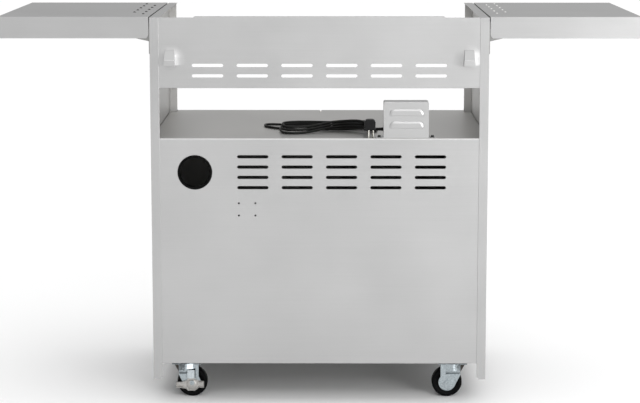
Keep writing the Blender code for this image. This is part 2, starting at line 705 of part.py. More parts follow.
def make_magnetic_catch():
    """Double magnetic catch under the deck's front edge."""
    under = DECK_TOP - SHEET - TOUCH
    behind = Y_FRONT - DECK_FRONT_SETBACK - SHEET - TOUCH
    low = DECK_TOP - CATCH_DROP
    nose_top = DECK_TOP - DECK_FRONT_FLANGE - TOUCH
    half = CATCH_WIDTH / 2
    catch = cuboid("magnetic_catch", (-half, half), (behind - CATCH_BODY, behind), (low, under))
    join(catch, cuboid(
        "nose", (-half, half), (behind - CATCH_NECK, Y_FRONT + DOOR_GAP / 2 - TOUCH),
        (low, nose_top)))
    return finish(catch, BLACK_PLASTIC, 0.50, 0.0)


def shelf_cheek(side):
    """Outline of a shelf's end skirt, its inner lower corner round about the pivot."""
    radius = SHELF_PIVOT_X - SHELF_INNER
    drop = SHELF_PIVOT_Z - SHELF_BOTTOM
    start = 180.0
    end = 180.0 + math.degrees(math.asin(drop / radius))
    corner = arc(SHELF_PIVOT_X, SHELF_PIVOT_Z, radius, start, end, 6)
    outline = [(SHELF_INNER, SHELF_TOP)] + corner
    outline += [(SHELF_OUTER, SHELF_BOTTOM), (SHELF_OUTER, SHELF_TOP)]
    return mirrored(outline, side)


def make_shelf(side):
    """Folding side shelf: a hollow top with skirts and a pivot stud at each end."""
    pivot = (side * SHELF_PIVOT_X, (SHELF_REAR + SHELF_FRONT) / 2, SHELF_PIVOT_Z)
    name = "shelf_" + side_name(side)
    shelf = prism(name, shelf_cheek(side), "Y", SHELF_REAR, SHELF_FRONT)
    cut(shelf, cuboid(
        "hollow", (side * (SHELF_INNER + SHEET), side * (SHELF_OUTER - SHEET)),
        (SHELF_REAR + SHEET, SHELF_FRONT - SHEET), (SHELF_BOTTOM - SHEET, SHELF_TOP - SHEET)))
    cut(shelf, cuboid(
        "inner_cut", (side * (SHELF_INNER - SHEET), side * (SHELF_INNER + 2 * SHEET)),
        (SHELF_REAR + SHEET, SHELF_FRONT - SHEET), (SHELF_BOTTOM - SHEET, SHELF_INNER_SKIRT_Z)))
    ends = (
        (SHELF_REAR + SHEET / 2, SHELF_REAR + STUD_LENGTH),
        (SHELF_FRONT - STUD_LENGTH, SHELF_FRONT - SHEET / 2),
    )
    for low, high in ends:
        join(shelf, rod("stud", "Y", pivot, STUD_RADIUS, low, high, 12))
    return finish(shelf, STEEL, 0.34, 1.0, pivot)


def bracket_arm(side):
    """Outline of a bracket's arm: a sloping lower edge and a round lobe at the pivot."""
    root = HALF_WIDTH + TOUCH
    tip = HALF_WIDTH + BRACKET_ARM
    lobe = arc(SHELF_PIVOT_X, SHELF_PIVOT_Z, BRACKET_LOBE_RADIUS, 20.0, 130.0, 5)
    outline = [(root, SHELF_BOTTOM - BRACKET_DROP), (tip, SHELF_BOTTOM - TOUCH)]
    outline += lobe
    under_skirt = SHELF_INNER_SKIRT_Z - SLIDE
    outline += [(SHELF_INNER + BRACKET_STEP, under_skirt), (root, under_skirt)]
    return mirrored(outline, side)


def make_shelf_bracket(side):
    """Wall bracket of a shelf: a long back plate with an arm at each end."""
    rear = SHELF_REAR + SHEET + SLIDE / 2
    front = SHELF_FRONT - SHEET - SLIDE / 2
    root = HALF_WIDTH + TOUCH
    name = "shelf_bracket_" + side_name(side)
    bracket = cuboid(
        name, (side * root, side * (root + THICK_SHEET)), (rear, front),
        (BRACKET_BOTTOM, BRACKET_TOP))
    for low, high in ((rear, rear + THICK_SHEET), (front - THICK_SHEET, front)):
        join(bracket, prism("arm", bracket_arm(side), "Y", low, high))
    cut(bracket, rod(
        "stud_hole", "Y", (side * SHELF_PIVOT_X, 0.0, SHELF_PIVOT_Z), STUD_HOLE_RADIUS,
        rear - SHEET, front + SHEET, 12))
    return finish(bracket, STEEL, 0.36, 1.0)


def fork_leg(x, inward, centre_x):
    """Outline of a caster's fork leg in the plane of the wheel."""
    back = math.degrees(math.acos((TRAIL - FORK_BACK) / LEG_END_RADIUS))
    outline = [(-FORK_BACK, FORK_TOP), (FORK_FRONT, FORK_TOP)]
    outline += arc(-TRAIL, WHEEL_RADIUS, LEG_END_RADIUS, LEG_SLOPE_START, back - 360.0, 10)
    return [(x - inward * u, z) for u, z in outline]


def make_caster(name, side, y, braked):
    """Swivel caster: top plate with kingpin, fork, wheel, axle and, if braked, a lever."""
    x = side * CASTER_X
    inward = -side
    wheel_x = x + inward * TRAIL
    swivel = (x, y, FORK_TOP)
    axle_point = (wheel_x, y, WHEEL_RADIUS)
    plate_top = BASE_BOTTOM - TOUCH
    plate_low = plate_top - CASTER_PLATE_THICKNESS
    half = CASTER_PLATE / 2

    plate = cuboid(
        name + "_plate", (x - half, x + half), (y - half, y + half), (plate_low, plate_top))
    crown_low = FORK_TOP - FORK_SHEET
    race_low = FORK_TOP + TOUCH
    cone_width, cone_height = RACEWAY_CONE
    head_rim, head_middle = KINGPIN_HEAD_HEIGHTS
    profile = [
        (0.0, plate_low + SHEET), (RACEWAY_RADIUS, plate_low + SHEET),
        (RACEWAY_RADIUS, race_low + cone_height), (RACEWAY_RADIUS - cone_width, race_low),
        (KINGPIN_RADIUS, race_low), (KINGPIN_RADIUS, crown_low - TOUCH),
        (KINGPIN_HEAD_RADIUS, crown_low - TOUCH), (KINGPIN_HEAD_RADIUS, crown_low - head_rim),
        (0.0, crown_low - head_middle),
    ]
    join(plate, turned("race", profile, "Z", (x, y, 0.0), 20))
    finish(plate, ZINC, 0.35, 1.0, smooth=True)

    inner = WHEEL_HUB_WIDTH / 2 + FORK_CLEARANCE
    outer = inner + FORK_SHEET
    fork = cuboid(
        name + "_fork", (x + inward * FORK_BACK, x - inward * FORK_FRONT),
        (y - outer, y + outer), (crown_low, FORK_TOP))
    leg = fork_leg(x, inward, wheel_x)
    join(fork, prism("leg", leg, "Y", y - outer, y - inner))
    join(fork, prism("leg", leg, "Y", y + inner, y + outer))
    cut(fork, rod(
        "kingpin_hole", "Z", swivel, KINGPIN_RADIUS + 2 * TOUCH, crown_low - SHEET,
        FORK_TOP + SHEET, 16))
    cut(fork, rod("axle_hole", "Y", axle_point, AXLE_BORE, y - 2 * outer, y + 2 * outer, 12))
    finish(fork, ZINC, 0.35, 1.0, swivel)

    hub = WHEEL_HUB_WIDTH / 2
    tyre = WHEEL_WIDTH / 2
    rim = WHEEL_RADIUS - WHEEL_RIM
    shoulder = WHEEL_RADIUS - TYRE_SHOULDER[0]
    tread = tyre - TYRE_SHOULDER[1]
    profile = [
        (AXLE_BORE, -hub), (WHEEL_HUB_RADIUS, -hub), (rim, WHEEL_DISH - tyre),
        (shoulder, -tyre), (WHEEL_RADIUS, -tread), (WHEEL_RADIUS, tread),
        (shoulder, tyre), (rim, tyre - WHEEL_DISH), (WHEEL_HUB_RADIUS, hub), (AXLE_BORE, hub),
    ]
    wheel = turned(name + "_wheel", profile, "Y", axle_point, 28)
    finish(wheel, BLACK_RUBBER, 0.60, 0.0, axle_point, smooth=True)

    seat = outer + TOUCH
    brake_seat = seat + (BRAKE_PLATE + TOUCH if braked else 0.0)
    axle = rod(
        name + "_axle", "Y", axle_point, AXLE_RADIUS, y - brake_seat - AXLE_HEAD_HEIGHT / 2,
        y + seat + AXLE_HEAD_HEIGHT / 2, 12)
    join(axle, rod(
        "head", "Y", axle_point, AXLE_HEAD_RADIUS, y - brake_seat - AXLE_HEAD_HEIGHT,
        y - brake_seat, 6))
    join(axle, rod(
        "nut", "Y", axle_point, AXLE_HEAD_RADIUS, y + seat, y + seat + AXLE_HEAD_HEIGHT, 6))
    finish(axle, ZINC, 0.30, 1.0, swivel)
    if braked:
        make_brake_lever(name, wheel_x, y - seat, axle_point)


def make_brake_lever(name, x, face, pivot):
    """Bow-tie brake lever with two foot pads and an upright tongue, on the axle."""
    z = WHEEL_RADIUS
    points = [(x + u, z + v) for u, v in BRAKE_OUTLINE]
    lever = prism(name + "_brake_lever", points, "Y", face - BRAKE_PLATE, face)
    pad_low, pad_high = BRAKE_PAD_HEIGHTS
    for low, high in BRAKE_PADS:
        join(lever, cuboid(
            "pad", (x + low, x + high), (face - BRAKE_PAD_OUT, face - BRAKE_PLATE / 2),
            (z + pad_low, z + pad_high)))
    cut(lever, rod(
        "bore", "Y", pivot, AXLE_BORE, face - BRAKE_BORE_REACH, face + BRAKE_BORE_REACH, 12))
    return finish(lever, ZINC, 0.35, 1.0, pivot)


def box_outline():
    """Outline of the transformer cover across X and Z, feet included."""
    low = BOX_X - BOX_WIDTH / 2
    high = BOX_X + BOX_WIDTH / 2
    base = ON_DECK
    top = ON_DECK + BOX_HEIGHT
    outline = [(low - BOX_FOOT, base), (high + BOX_FOOT, base)]
    outline += [(high + BOX_FOOT, base + SHEET), (high, base + SHEET)]
    outline += arc(high - BOX_CORNER, top - BOX_CORNER, BOX_CORNER, 0.0, 90.0, 4)
    outline += arc(low + BOX_CORNER, top - BOX_CORNER, BOX_CORNER, 90.0, 180.0, 4)
    outline += [(low, base + SHEET), (low - BOX_FOOT, base + SHEET)]
    return outline


def make_transformer():
    """Sheet cover, the transformer inside it and the cord's strain relief."""
    rear = Y_REAR + BOX_REAR_INSET + SHEET + 2 * TOUCH
    front = rear + BOX_DEPTH
    cover = prism("transformer_cover", box_outline(), "Y", rear, front)
    low = BOX_X - BOX_WIDTH / 2
    high = BOX_X + BOX_WIDTH / 2
    cut(cover, cuboid(
        "hollow", (low + SHEET, high - SHEET), (rear + SHEET, front - SHEET),
        (ON_DECK - SHEET, ON_DECK + BOX_HEIGHT - SHEET)))
    exit_y = Y_REAR + CORD_EXIT_DEPTH
    neck = RELIEF_RADII[0]
    cut(cover, rod(
        "cord_hole", "X", (0.0, exit_y, CORD_EXIT_Z), neck + TOUCH, low - SHEET, low + 2 * SHEET, 16))
    finish(cover, STEEL, 0.38, 1.0)

    base = ON_DECK + TOUCH
    mid_y = rear + SHEET + COIL_GAP + COIL_SIZE[1] / 2
    core_x = BOX_X + CORE_SHIFT
    core = cuboid(
        "transformer_core", (core_x - CORE_SIZE[0] / 2, core_x + CORE_SIZE[0] / 2),
        (mid_y - CORE_SIZE[1] / 2, mid_y + CORE_SIZE[1] / 2), (base, base + CORE_SIZE[2]))
    coil_z = base + (CORE_SIZE[2] - COIL_SIZE[2]) / 2
    join(core, cuboid(
        "coil", (core_x - COIL_SIZE[0] / 2, core_x + COIL_SIZE[0] / 2),
        (mid_y - COIL_SIZE[1] / 2, mid_y + COIL_SIZE[1] / 2), (coil_z, coil_z + COIL_SIZE[2])))
    finish(core, DARK_IRON, 0.60, 0.5)

    bore = CORD_RADIUS + TOUCH
    rim, foot = RELIEF_COLLAR_ENDS
    inside = low + RELIEF_INSIDE
    profile = [
        (bore, inside), (neck - TOUCH, inside), (neck - TOUCH, low - TOUCH),
        (RELIEF_COLLAR_RADIUS, low - TOUCH), (RELIEF_COLLAR_RADIUS, low - rim),
        (neck, low - foot), (RELIEF_RADII[1], low - RELIEF_LENGTH),
        (bore, low - RELIEF_LENGTH),
    ]
    relief = turned("strain_relief", profile, "X", (0.0, exit_y, CORD_EXIT_Z), 12)
    finish(relief, BLACK_PLASTIC, 0.55, 0.0, smooth=True)


def at_depth(x, depth, z):
    """Point from its X, its distance from the rear plane and its height."""
    return Vector((x, Y_REAR + depth, z))


def smooth_step(value, low, high):
    """Value eased from 0 to 1 between two limits."""
    share = min(max((value - low) / (high - low), 0.0), 1.0)
    return share * share * (3.0 - 2.0 * share)


def hank_point(degrees):
    """Middle of the cord in the hank, at an angle counted on through all its loops."""
    angle = math.radians(degrees)
    loop = math.floor(degrees / 360.0)
    within = degrees - 360.0 * loop
    shrink = HANK_INWARD * degrees / 360.0
    slant = 0.0
    if math.cos(angle) > 0.0:
        reach, width = HANK_RIGHT_REACH, HANK_RIGHT_WIDTH
    elif loop == 0:
        reach, width, slant = HANK_LONG_REACH, HANK_LONG_WIDTH, HANK_LONG_SLANT
    else:
        reach, width, slant = HANK_LEFT_REACH, HANK_LEFT_WIDTHS[loop - 1], HANK_LEFT_SLANT
    share = abs(math.cos(angle))
    spread = (1.0 + HANK_OPENING) * share ** 2 / (share + HANK_OPENING)
    x = HANK_WAIST_X + (reach - shrink) * math.cos(angle)
    opening = HANK_WAIST_HALF + width * spread
    depth = HANK_DEPTH + slant * spread + opening * math.sin(angle)
    layer = loop + smooth_step(within, *HANK_CLIMB)
    if loop > 0:
        layer -= smooth_step(within, *HANK_DROP) - smooth_step(within, *HANK_RISE)
    return at_depth(x, depth, ON_DECK + CORD_RADIUS + HANK_PITCH * layer)


def hank_route():
    """Points along the hank, evenly spaced in angle."""
    count = round((HANK_END - HANK_START) / 360.0 * HANK_STEPS)
    stride = (HANK_END - HANK_START) / count
    return [hank_point(HANK_START + stride * step) for step in range(count + 1)]


def smooth_curve(points, step):
    """Even points along a smooth curve (Catmull-Rom) through the given ones.

    The first and the last span stay straight.
    """
    fine = []
    for before, start, end, after in zip(points, points[1:], points[2:], points[3:]):
        for part in range(12):
            t = part / 12
            bend = 2 * before - 5 * start + 4 * end - after
            twist = 3 * start - before - 3 * end + after
            fine.append(start + 0.5 * ((end - before) * t + bend * t ** 2 + twist * t ** 3))
    fine.append(points[-2])
    count = round(route_length(fine) / step)
    stride = route_length(fine) / count
    spaced = [points[0], points[1]]
    walked = 0.0
    for a, b in zip(fine, fine[1:]):
        length = (b - a).length
        while len(spaced) <= count and walked + length >= stride * (len(spaced) - 1):
            spaced.append(a.lerp(b, (stride * (len(spaced) - 1) - walked) / length))
        walked += length
    return spaced + [points[-2], points[-1]]


def route_length(points):
    """Length of a chain of points."""
    return sum((b - a).length for a, b in zip(points, points[1:]))


def tightest_bend(points):
    """Smallest radius of the circles through each three points in a row."""
    least = math.inf
    for a, b, c in zip(points, points[1:], points[2:]):
        area = (b - a).cross(c - a).length / 2
        if area > 1e-12:
            radius = (b - a).length * (c - b).length * (c - a).length / (4 * area)
            least = min(least, radius)
    return least


def least_self_gap(points):
    """Least gap between parts of one tube that aren't neighbours, measured on points."""
    fine = []
    for a, b in zip(points, points[1:]):
        fine += [a.lerp(b, part / 6) for part in range(6)]
    fine.append(points[-1])
    spacing = route_length(fine) / (len(fine) - 1)
    skip = math.ceil(6 * CORD_RADIUS / spacing)
    least = math.inf
    for i, a in enumerate(fine):
        for b in fine[i + skip:]:
            least = min(least, (b - a).length)
    return least - 2 * CORD_RADIUS


def make_cord(name, points, resolution):
    """Tube of the cord along its points, with flat closed ends."""
    curve = bpy.data.curves.new(name, "CURVE")
    curve.dimensions = "3D"
    curve.bevel_depth = CORD_RADIUS
    curve.bevel_resolution = resolution
    curve.use_fill_caps = True
    curve.twist_mode = "MINIMUM"
    spline = curve.splines.new("POLY")
    spline.points.add(len(points) - 1)
    for spot, point in zip(spline.points, points):
        spot.co = (point.x, point.y, point.z, 1.0)
    item = bpy.data.objects.new(name, curve)
    bpy.context.scene.collection.objects.link(item)
    curve.materials.append(make_material(name, BLACK_RUBBER, 0.55, 0.0))
    return item


def above_deck(x, depth, height):
    """Point from its X, its distance from the rear plane and its height above the deck."""
    return at_depth(x, depth, DECK_TOP + height)


def lead_route(hank):
    """Free stretch from the strain relief down to the hank's first loop."""
    start_x = BOX_X - BOX_WIDTH / 2
    heading = (hank[1] - hank[0]).normalized()
    return [
        at_depth(start_x, CORD_EXIT_DEPTH, CORD_EXIT_Z),
        at_depth(start_x - RELIEF_LENGTH - RELIEF_RUN, CORD_EXIT_DEPTH, CORD_EXIT_Z),
        above_deck(0.1230, 0.0408, 0.0175),
        above_deck(0.1140, 0.0500, 0.0160),
        above_deck(0.1105, 0.0635, 0.0142),
        above_deck(0.1140, 0.0800, 0.0118),
        above_deck(0.1240, 0.0955, 0.0091),
        above_deck(0.1355, 0.1105, 0.0060),
        hank[0] - heading * CORD_STRAIGHT,
        hank[0] - heading * TOUCH,
    ]


def tail_route(hank):
    """Free stretch from the hank's top loop to the far face of the plug."""
    heading = (hank[-1] - hank[-2]).normalized()
    entry_z = ON_DECK + BLADE_LENGTH + PLUG_SIZE[2] / 2
    entry_depth = PLUG_REAR_DEPTH + PLUG_SIZE[1] + TOUCH
    return [
        hank[-1] + heading * TOUCH,
        hank[-1] + heading * CORD_STRAIGHT,
        above_deck(0.0950, 0.1190, 0.0288),
        above_deck(0.1100, 0.1050, 0.0276),
        above_deck(0.1195, 0.0850, 0.0261),
        above_deck(0.1230, 0.0640, 0.0271),
        at_depth(PLUG_X, entry_depth + CORD_STRAIGHT, entry_z),
        at_depth(PLUG_X, entry_depth, entry_z),
    ]


def make_plug():
    """Moulded angle plug, its two blades and its earth pin, standing on the deck."""
    x_low = PLUG_X - PLUG_SIZE[0] / 2
    x_high = PLUG_X + PLUG_SIZE[0] / 2
    depth_low = Y_REAR + PLUG_REAR_DEPTH
    depth_high = depth_low + PLUG_SIZE[1]
    base = ON_DECK + BLADE_LENGTH
    top = base + PLUG_SIZE[2]
    bevel = PLUG_BEVEL
    outline = [
        (x_low + bevel, depth_low), (x_high - bevel, depth_low), (x_high, depth_low + bevel),
        (x_high, depth_high - bevel), (x_high - bevel, depth_high), (x_low + bevel, depth_high),
        (x_low, depth_high - bevel), (x_low, depth_low + bevel),
    ]
    body = prism("cord_plug", outline, "Z", base, top)
    finish(body, BLACK_PLASTIC, 0.50, 0.0)

    middle = Vector((PLUG_X, (depth_low + depth_high) / 2, 0.0))
    turn = Matrix.Rotation(math.radians(BLADE_TURN), 4, "Z")
    for word, offset in (("left", -BLADE_HALF_SPACING), ("right", BLADE_HALF_SPACING)):
        half_x, half_y = BLADE_SIZE[0] / 2, BLADE_SIZE[1] / 2
        low, high = ON_DECK, base - TOUCH
        blade = prism(
            "plug_blade_" + word,
            rectangle(
                offset - half_x, offset + half_x, -BLADES_BACK - half_y, half_y - BLADES_BACK),
            "Z", low, high)
        blade.data.transform(Matrix.Translation(middle) @ turn)
        finish(blade, BRASS_NICKEL, 0.30, 1.0)
    pin = rod(
        "plug_earth_pin", "Z", (0.0, GROUND_OFFSET - BLADES_BACK, 0.0), GROUND_RADIUS,
        ON_DECK, base - TOUCH, 12)
    pin.data.transform(Matrix.Translation(middle) @ turn)
    finish(pin, BRASS_NICKEL, 0.30, 1.0)


def make_cords():
    """Lead, hank and tail of the mains cord, and its plug."""
    hank = hank_route()
    lead = smooth_curve(lead_route(hank), CORD_POINT_SPACING)
    tail = smooth_curve(tail_route(hank), CORD_POINT_SPACING)
    make_cord("cord_hank", hank, 1)
    make_cord("cord_lead", lead, 2)
    make_cord("cord_tail", tail, 2)
    make_plug()
    total = route_length(lead) + route_length(hank) + route_length(tail)
    print("cord length", round(total, 3))
    print("cord hank length", round(route_length(hank), 3))
    print("tightest bends", [round(tightest_bend(r), 4) for r in (lead, hank, tail)])
    print("least gap of the hank to itself", round(least_self_gap(hank), 5))


def make_cart():
    """The whole cart."""
    clear_scene()
    make_rear_upper_panel()
    make_rear_lower_panel()
    make_deck_panel()
    make_floor_panel()
    make_hose_grommet()
    make_magnetic_catch()
    for side in (-1, 1):
        make_side_panel(side)
        make_hook(side)
        make_door(side)
        make_hinges(side)
        make_shelf_bracket(side)
        make_shelf(side)
    rear_y = Y_REAR + CASTER_INSET_Y
    front_y = Y_FRONT - CASTER_INSET_Y
    make_caster("caster_rear_left", -1, rear_y, True)
    make_caster("caster_rear_right", 1, rear_y, False)
    make_caster("caster_front_left", -1, front_y, False)
    make_caster("caster_front_right", 1, front_y, True)
    make_transformer()
    make_cords()


make_cart()
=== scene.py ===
"""Looks of the stainless grill cart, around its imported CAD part.

Metres, +Z up. The photographed rear faces -Y, the doors face +Y, +X is right as seen from
the rear.
"""
import math

import bmesh
import bpy
from mathutils import Matrix, Vector


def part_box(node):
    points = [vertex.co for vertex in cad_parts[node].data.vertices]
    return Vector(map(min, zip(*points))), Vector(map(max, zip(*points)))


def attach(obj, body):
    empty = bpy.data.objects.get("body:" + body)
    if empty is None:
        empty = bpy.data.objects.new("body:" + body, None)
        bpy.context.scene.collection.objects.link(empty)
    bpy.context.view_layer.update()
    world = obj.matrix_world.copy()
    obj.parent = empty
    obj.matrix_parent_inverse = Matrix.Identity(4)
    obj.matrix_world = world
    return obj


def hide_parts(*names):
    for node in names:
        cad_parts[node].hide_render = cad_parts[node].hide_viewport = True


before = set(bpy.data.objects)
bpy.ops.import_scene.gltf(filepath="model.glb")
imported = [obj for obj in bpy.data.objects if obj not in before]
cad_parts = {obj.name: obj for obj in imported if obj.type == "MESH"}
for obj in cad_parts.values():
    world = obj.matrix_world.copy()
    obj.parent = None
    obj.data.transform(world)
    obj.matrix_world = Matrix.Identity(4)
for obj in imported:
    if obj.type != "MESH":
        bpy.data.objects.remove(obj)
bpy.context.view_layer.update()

# Places closer than NEAR count as the same; points closer than MERGE become one. OFF_FACE is
# further than any place on a face strays from it, TOUCH keeps neighbours apart, and SINK lets
# a part bite into the one that it stands on.
NEAR = 2e-5
MERGE = 1e-6
OFF_FACE = 0.0005
TOUCH = 0.0003
SINK = 0.0001

# Places that follow from the CAD nodes
Y_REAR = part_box("side_panel_left")[0].y
DECK_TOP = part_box("deck_panel")[1].z
ON_DECK = DECK_TOP + TOUCH

# Outer bends of the folded sheets, the gauge of the pressed ones and the rims of stamped plates
PANEL_BEND = 0.0016
DECK_BEND = 0.0018
DOOR_BEND = 0.0022
SHELF_BEND = 0.0013
COVER_BEND = 0.0012
LIP_BEND = 0.0042
LIP_DEPTH = 0.0060
FORK_BEND = 0.0018
THIN_SHEET = 0.0006
STAMPED_RIM = 0.0005

# Edges that get a bend: on the side panels those above FOOT_TOP, on the deck those further from
# the middle than DECK_MIDDLE, on the upper panel those nearer to it than PANEL_MIDDLE
FOOT_TOP = 0.07
DECK_MIDDLE = 0.3
PANEL_MIDDLE = 0.38

# Rows of rivet heads on each shelf: a row's X, and its heads' distances from the rear plane
RIVET_ROWS = {
    "left": ((-0.4350, (0.104, 0.184, 0.264, 0.345, 0.425)),
             (-0.4625, (0.165, 0.247, 0.329, 0.411, 0.493))),
    "right": ((0.4387, (0.125, 0.213, 0.295, 0.375, 0.455)),
              (0.4637, (0.175, 0.257, 0.339, 0.421, 0.503))),
}
CATCH_SCREW_DEPTH = 0.553

# Hooks: shares of the CAD hook's width at foot and top; the hood drawn out of the panel
HOOK_FOOT_SHARE = 0.95
HOOK_TOP_SHARE = 0.75
HOOD_REACH = 0.0400
HOOD_RISES = {"left": 0.0082, "right": 0.0054}
HOOD_DROP = 0.0190
HOOD_SQUASH = 0.75
HOOD_ABOVE_HOOK = 0.0195

# Transformer cover and its louvres
COVER_LEFT = 0.1563
COVER_RIGHT = COVER_LEFT + 0.1100
COVER_RETURN = 0.0042
LOUVRE_LEFT = 0.1706
LOUVRE_RIGHT = 0.2546
LOUVRE_BOTTOMS = {"upper": 0.7222, "lower": 0.6918}
LOUVRE_HEIGHT = 0.0162
LOUVRE_CORNER = 0.0135
SCREW_SIZE = 0.0042
SCREW_HEIGHT = 0.0052

# The mains cord's route, as in the CAD part: a depth is a distance from the rear plane
CORD_RADIUS = 0.0029
CORD_BORE = CORD_RADIUS + 0.0001
CORD_STRAIGHT = 0.010
CORD_EXIT_DEPTH = 0.038
CORD_EXIT_HEIGHT = 0.0178
RELIEF_LENGTH = 0.020
RELIEF_RUN = 0.002
PLUG_X = 0.1235
PLUG_SIZE = (0.027, 0.024, 0.0257)
PLUG_REAR_DEPTH = 0.006
BLADE_LENGTH = 0.0185
HANK_PITCH = 0.0063
HANK_INWARD = 0.0030
HANK_WAIST_X = 0.0465
HANK_DEPTH = 0.137
HANK_WAIST_HALF = 0.0034
HANK_RIGHT_REACH = 0.093
HANK_RIGHT_WIDTH = 0.044
HANK_LEFT_REACH = 0.149
HANK_LEFT_WIDTHS = (0.102, 0.075, 0.052)
HANK_LEFT_SLANT = -0.020
HANK_LONG_REACH = 0.188
HANK_LONG_WIDTH = 0.082
HANK_LONG_SLANT = 0.094
HANK_OPENING = 0.3
HANK_END = 3 * 360.0 + 285.0
HANK_CLIMB = (240.0, 300.0)
HANK_DROP = (165.0, 205.0)
HANK_RISE = (232.0, 268.0)
KNOTS_PER_TURN = 24
POINTS_PER_KNOT = 3
SPAN_PARTS = 24
POINT_SPACING = 0.005

# Casters: side of the cart, end of the cart and whether there is a brake
CASTERS = {
    "caster_rear_left": (-1, -1, True),
    "caster_rear_right": (1, -1, False),
    "caster_front_left": (-1, 1, False),
    "caster_front_right": (1, 1, True),
}
WHEEL_RADIUS = 0.038
TRAIL = 0.0294
FORK_TOP = 0.0862
FORK_SHEET = 0.0025
LEG_REACH = 0.0460
LEG_FOOT_RADIUS = 0.0215
LEG_FOOT_START = -28.0
LEG_FOOT_SWEEP = 192.6
LEG_FOOT_STEPS = 14
OUTER_LEG_CUT = (0.0040, 0.0570)
INNER_LEG_CORNER = 0.0245
BOSS_OFFSET = 0.0147
LEVER_SHEET = 0.0030

# Camera: its place from the photograph's perspective, and its turns in radians
LENS_MM = 108.6
LENS_SHIFT = -0.05
CAMERA_SPOT = (0.0267, Y_REAR - 4.660, 1.2829)
CAMERA_TILT = 0.1477
CAMERA_TURN = 0.0054


def at_depth(x, depth, z):
    """Point from its X, its distance from the rear plane and its height."""
    return Vector((x, Y_REAR + depth, z))


def above_deck(x, depth, height):
    """The same, its height counted from the deck."""
    return at_depth(x, depth, DECK_TOP + height)


def eased(value, low, high):
    """Value eased from 0 to 1 between two limits."""
    share = min(max((value - low) / (high - low), 0.0), 1.0)
    return share * share * (3.0 - 2.0 * share)


def hank_point(degrees):
    """Middle of the cord in the hank, at an angle counted on through all its loops."""
    angle = math.radians(degrees)
    loop = math.floor(degrees / 360.0)
    within = degrees - 360.0 * loop
    shrink = HANK_INWARD * degrees / 360.0
    slant = 0.0
    if math.cos(angle) > 0.0:
        reach, width = HANK_RIGHT_REACH, HANK_RIGHT_WIDTH
    elif loop == 0:
        reach, width, slant = HANK_LONG_REACH, HANK_LONG_WIDTH, HANK_LONG_SLANT
    else:
        reach, width, slant = HANK_LEFT_REACH, HANK_LEFT_WIDTHS[loop - 1], HANK_LEFT_SLANT
    share = abs(math.cos(angle))
    spread = (1.0 + HANK_OPENING) * share ** 2 / (share + HANK_OPENING)
    x = HANK_WAIST_X + (reach - shrink) * math.cos(angle)
    depth = HANK_DEPTH + slant * spread
    depth += (HANK_WAIST_HALF + width * spread) * math.sin(angle)
    layer = loop + eased(within, *HANK_CLIMB)
    if loop > 0:
        layer -= eased(within, *HANK_DROP) - eased(within, *HANK_RISE)
    return at_depth(x, depth, ON_DECK + CORD_RADIUS + HANK_PITCH * layer)


def flowing(points, step):
    """Even points on a smooth curve through the given ones; the end spans stay straight."""
    fine = []
    for before, start, end, after in zip(points, points[1:], points[2:], points[3:]):
        for part in range(SPAN_PARTS):
            t = part / SPAN_PARTS
            bend = 2 * before - 5 * start + 4 * end - after
            twist = 3 * start - before - 3 * end + after
            fine.append(start + 0.5 * ((end - before) * t + bend * t ** 2 + twist * t ** 3))
    fine.append(points[-2])
    spaced = [points[0], fine[0]]
    for point in fine[1:]:
        if (point - spaced[-1]).length >= step:
            spaced.append(point)
    return spaced[:-1] + [points[-2], points[-1]]


def cord_route():
    """Lead, hank and tail of the mains cord as one line."""
    count = round(HANK_END / 360.0 * KNOTS_PER_TURN)
    knots = [hank_point(HANK_END / count * step) for step in range(count + 1)]
    heading = (knots[1] - knots[0]).normalized()
    lead = [
        above_deck(COVER_LEFT, CORD_EXIT_DEPTH, CORD_EXIT_HEIGHT),
        above_deck(COVER_LEFT - RELIEF_LENGTH - RELIEF_RUN, CORD_EXIT_DEPTH, CORD_EXIT_HEIGHT),
        above_deck(0.1230, 0.0408, 0.0175), above_deck(0.1140, 0.0500, 0.0160),
        above_deck(0.1105, 0.0635, 0.0142), above_deck(0.1140, 0.0800, 0.0118),
        above_deck(0.1240, 0.0955, 0.0091), above_deck(0.1355, 0.1105, 0.0060),
        knots[0] - heading * CORD_STRAIGHT, knots[0],
    ]
    heading = (knots[-1] - knots[-2]).normalized()
    entry_z = ON_DECK + BLADE_LENGTH + PLUG_SIZE[2] / 2
    entry = PLUG_REAR_DEPTH + PLUG_SIZE[1] + TOUCH
    tail = [
        knots[-1], knots[-1] + heading * CORD_STRAIGHT,
        above_deck(0.0950, 0.1190, 0.0288), above_deck(0.1100, 0.1050, 0.0276),
        above_deck(0.1195, 0.0850, 0.0261), above_deck(0.1230, 0.0640, 0.0271),
        at_depth(PLUG_X, entry + CORD_STRAIGHT, entry_z), at_depth(PLUG_X, entry, entry_z),
    ]
    count *= POINTS_PER_KNOT
    hank = [hank_point(HANK_END / count * step) for step in range(count + 1)]
    return flowing(lead, POINT_SPACING) + hank[1:-1] + flowing(tail, POINT_SPACING)


def colour(code):
    """Linear colour of an sRGB hex code."""
    linear = []
    for start in (1, 3, 5):
        share = int(code[start:start + 2], 16) / 255
        linear.append(share / 12.92 if share <= 0.04045 else ((share + 0.055) / 1.055) ** 2.4)
    return (*linear, 1.0)


def add_node(material, kind, settings=None, values=None, links=None):
    """One shader node with its settings, its sockets' values and what is linked to them."""
    made = material.node_tree.nodes.new(kind)
    for name, value in (settings or {}).items():
        setattr(made, name, value)
    for socket, value in (values or {}).items():
        made.inputs[socket].default_value = value
    for socket, source in (links or {}).items():
        material.node_tree.links.new(source, made.inputs[socket])
    return made


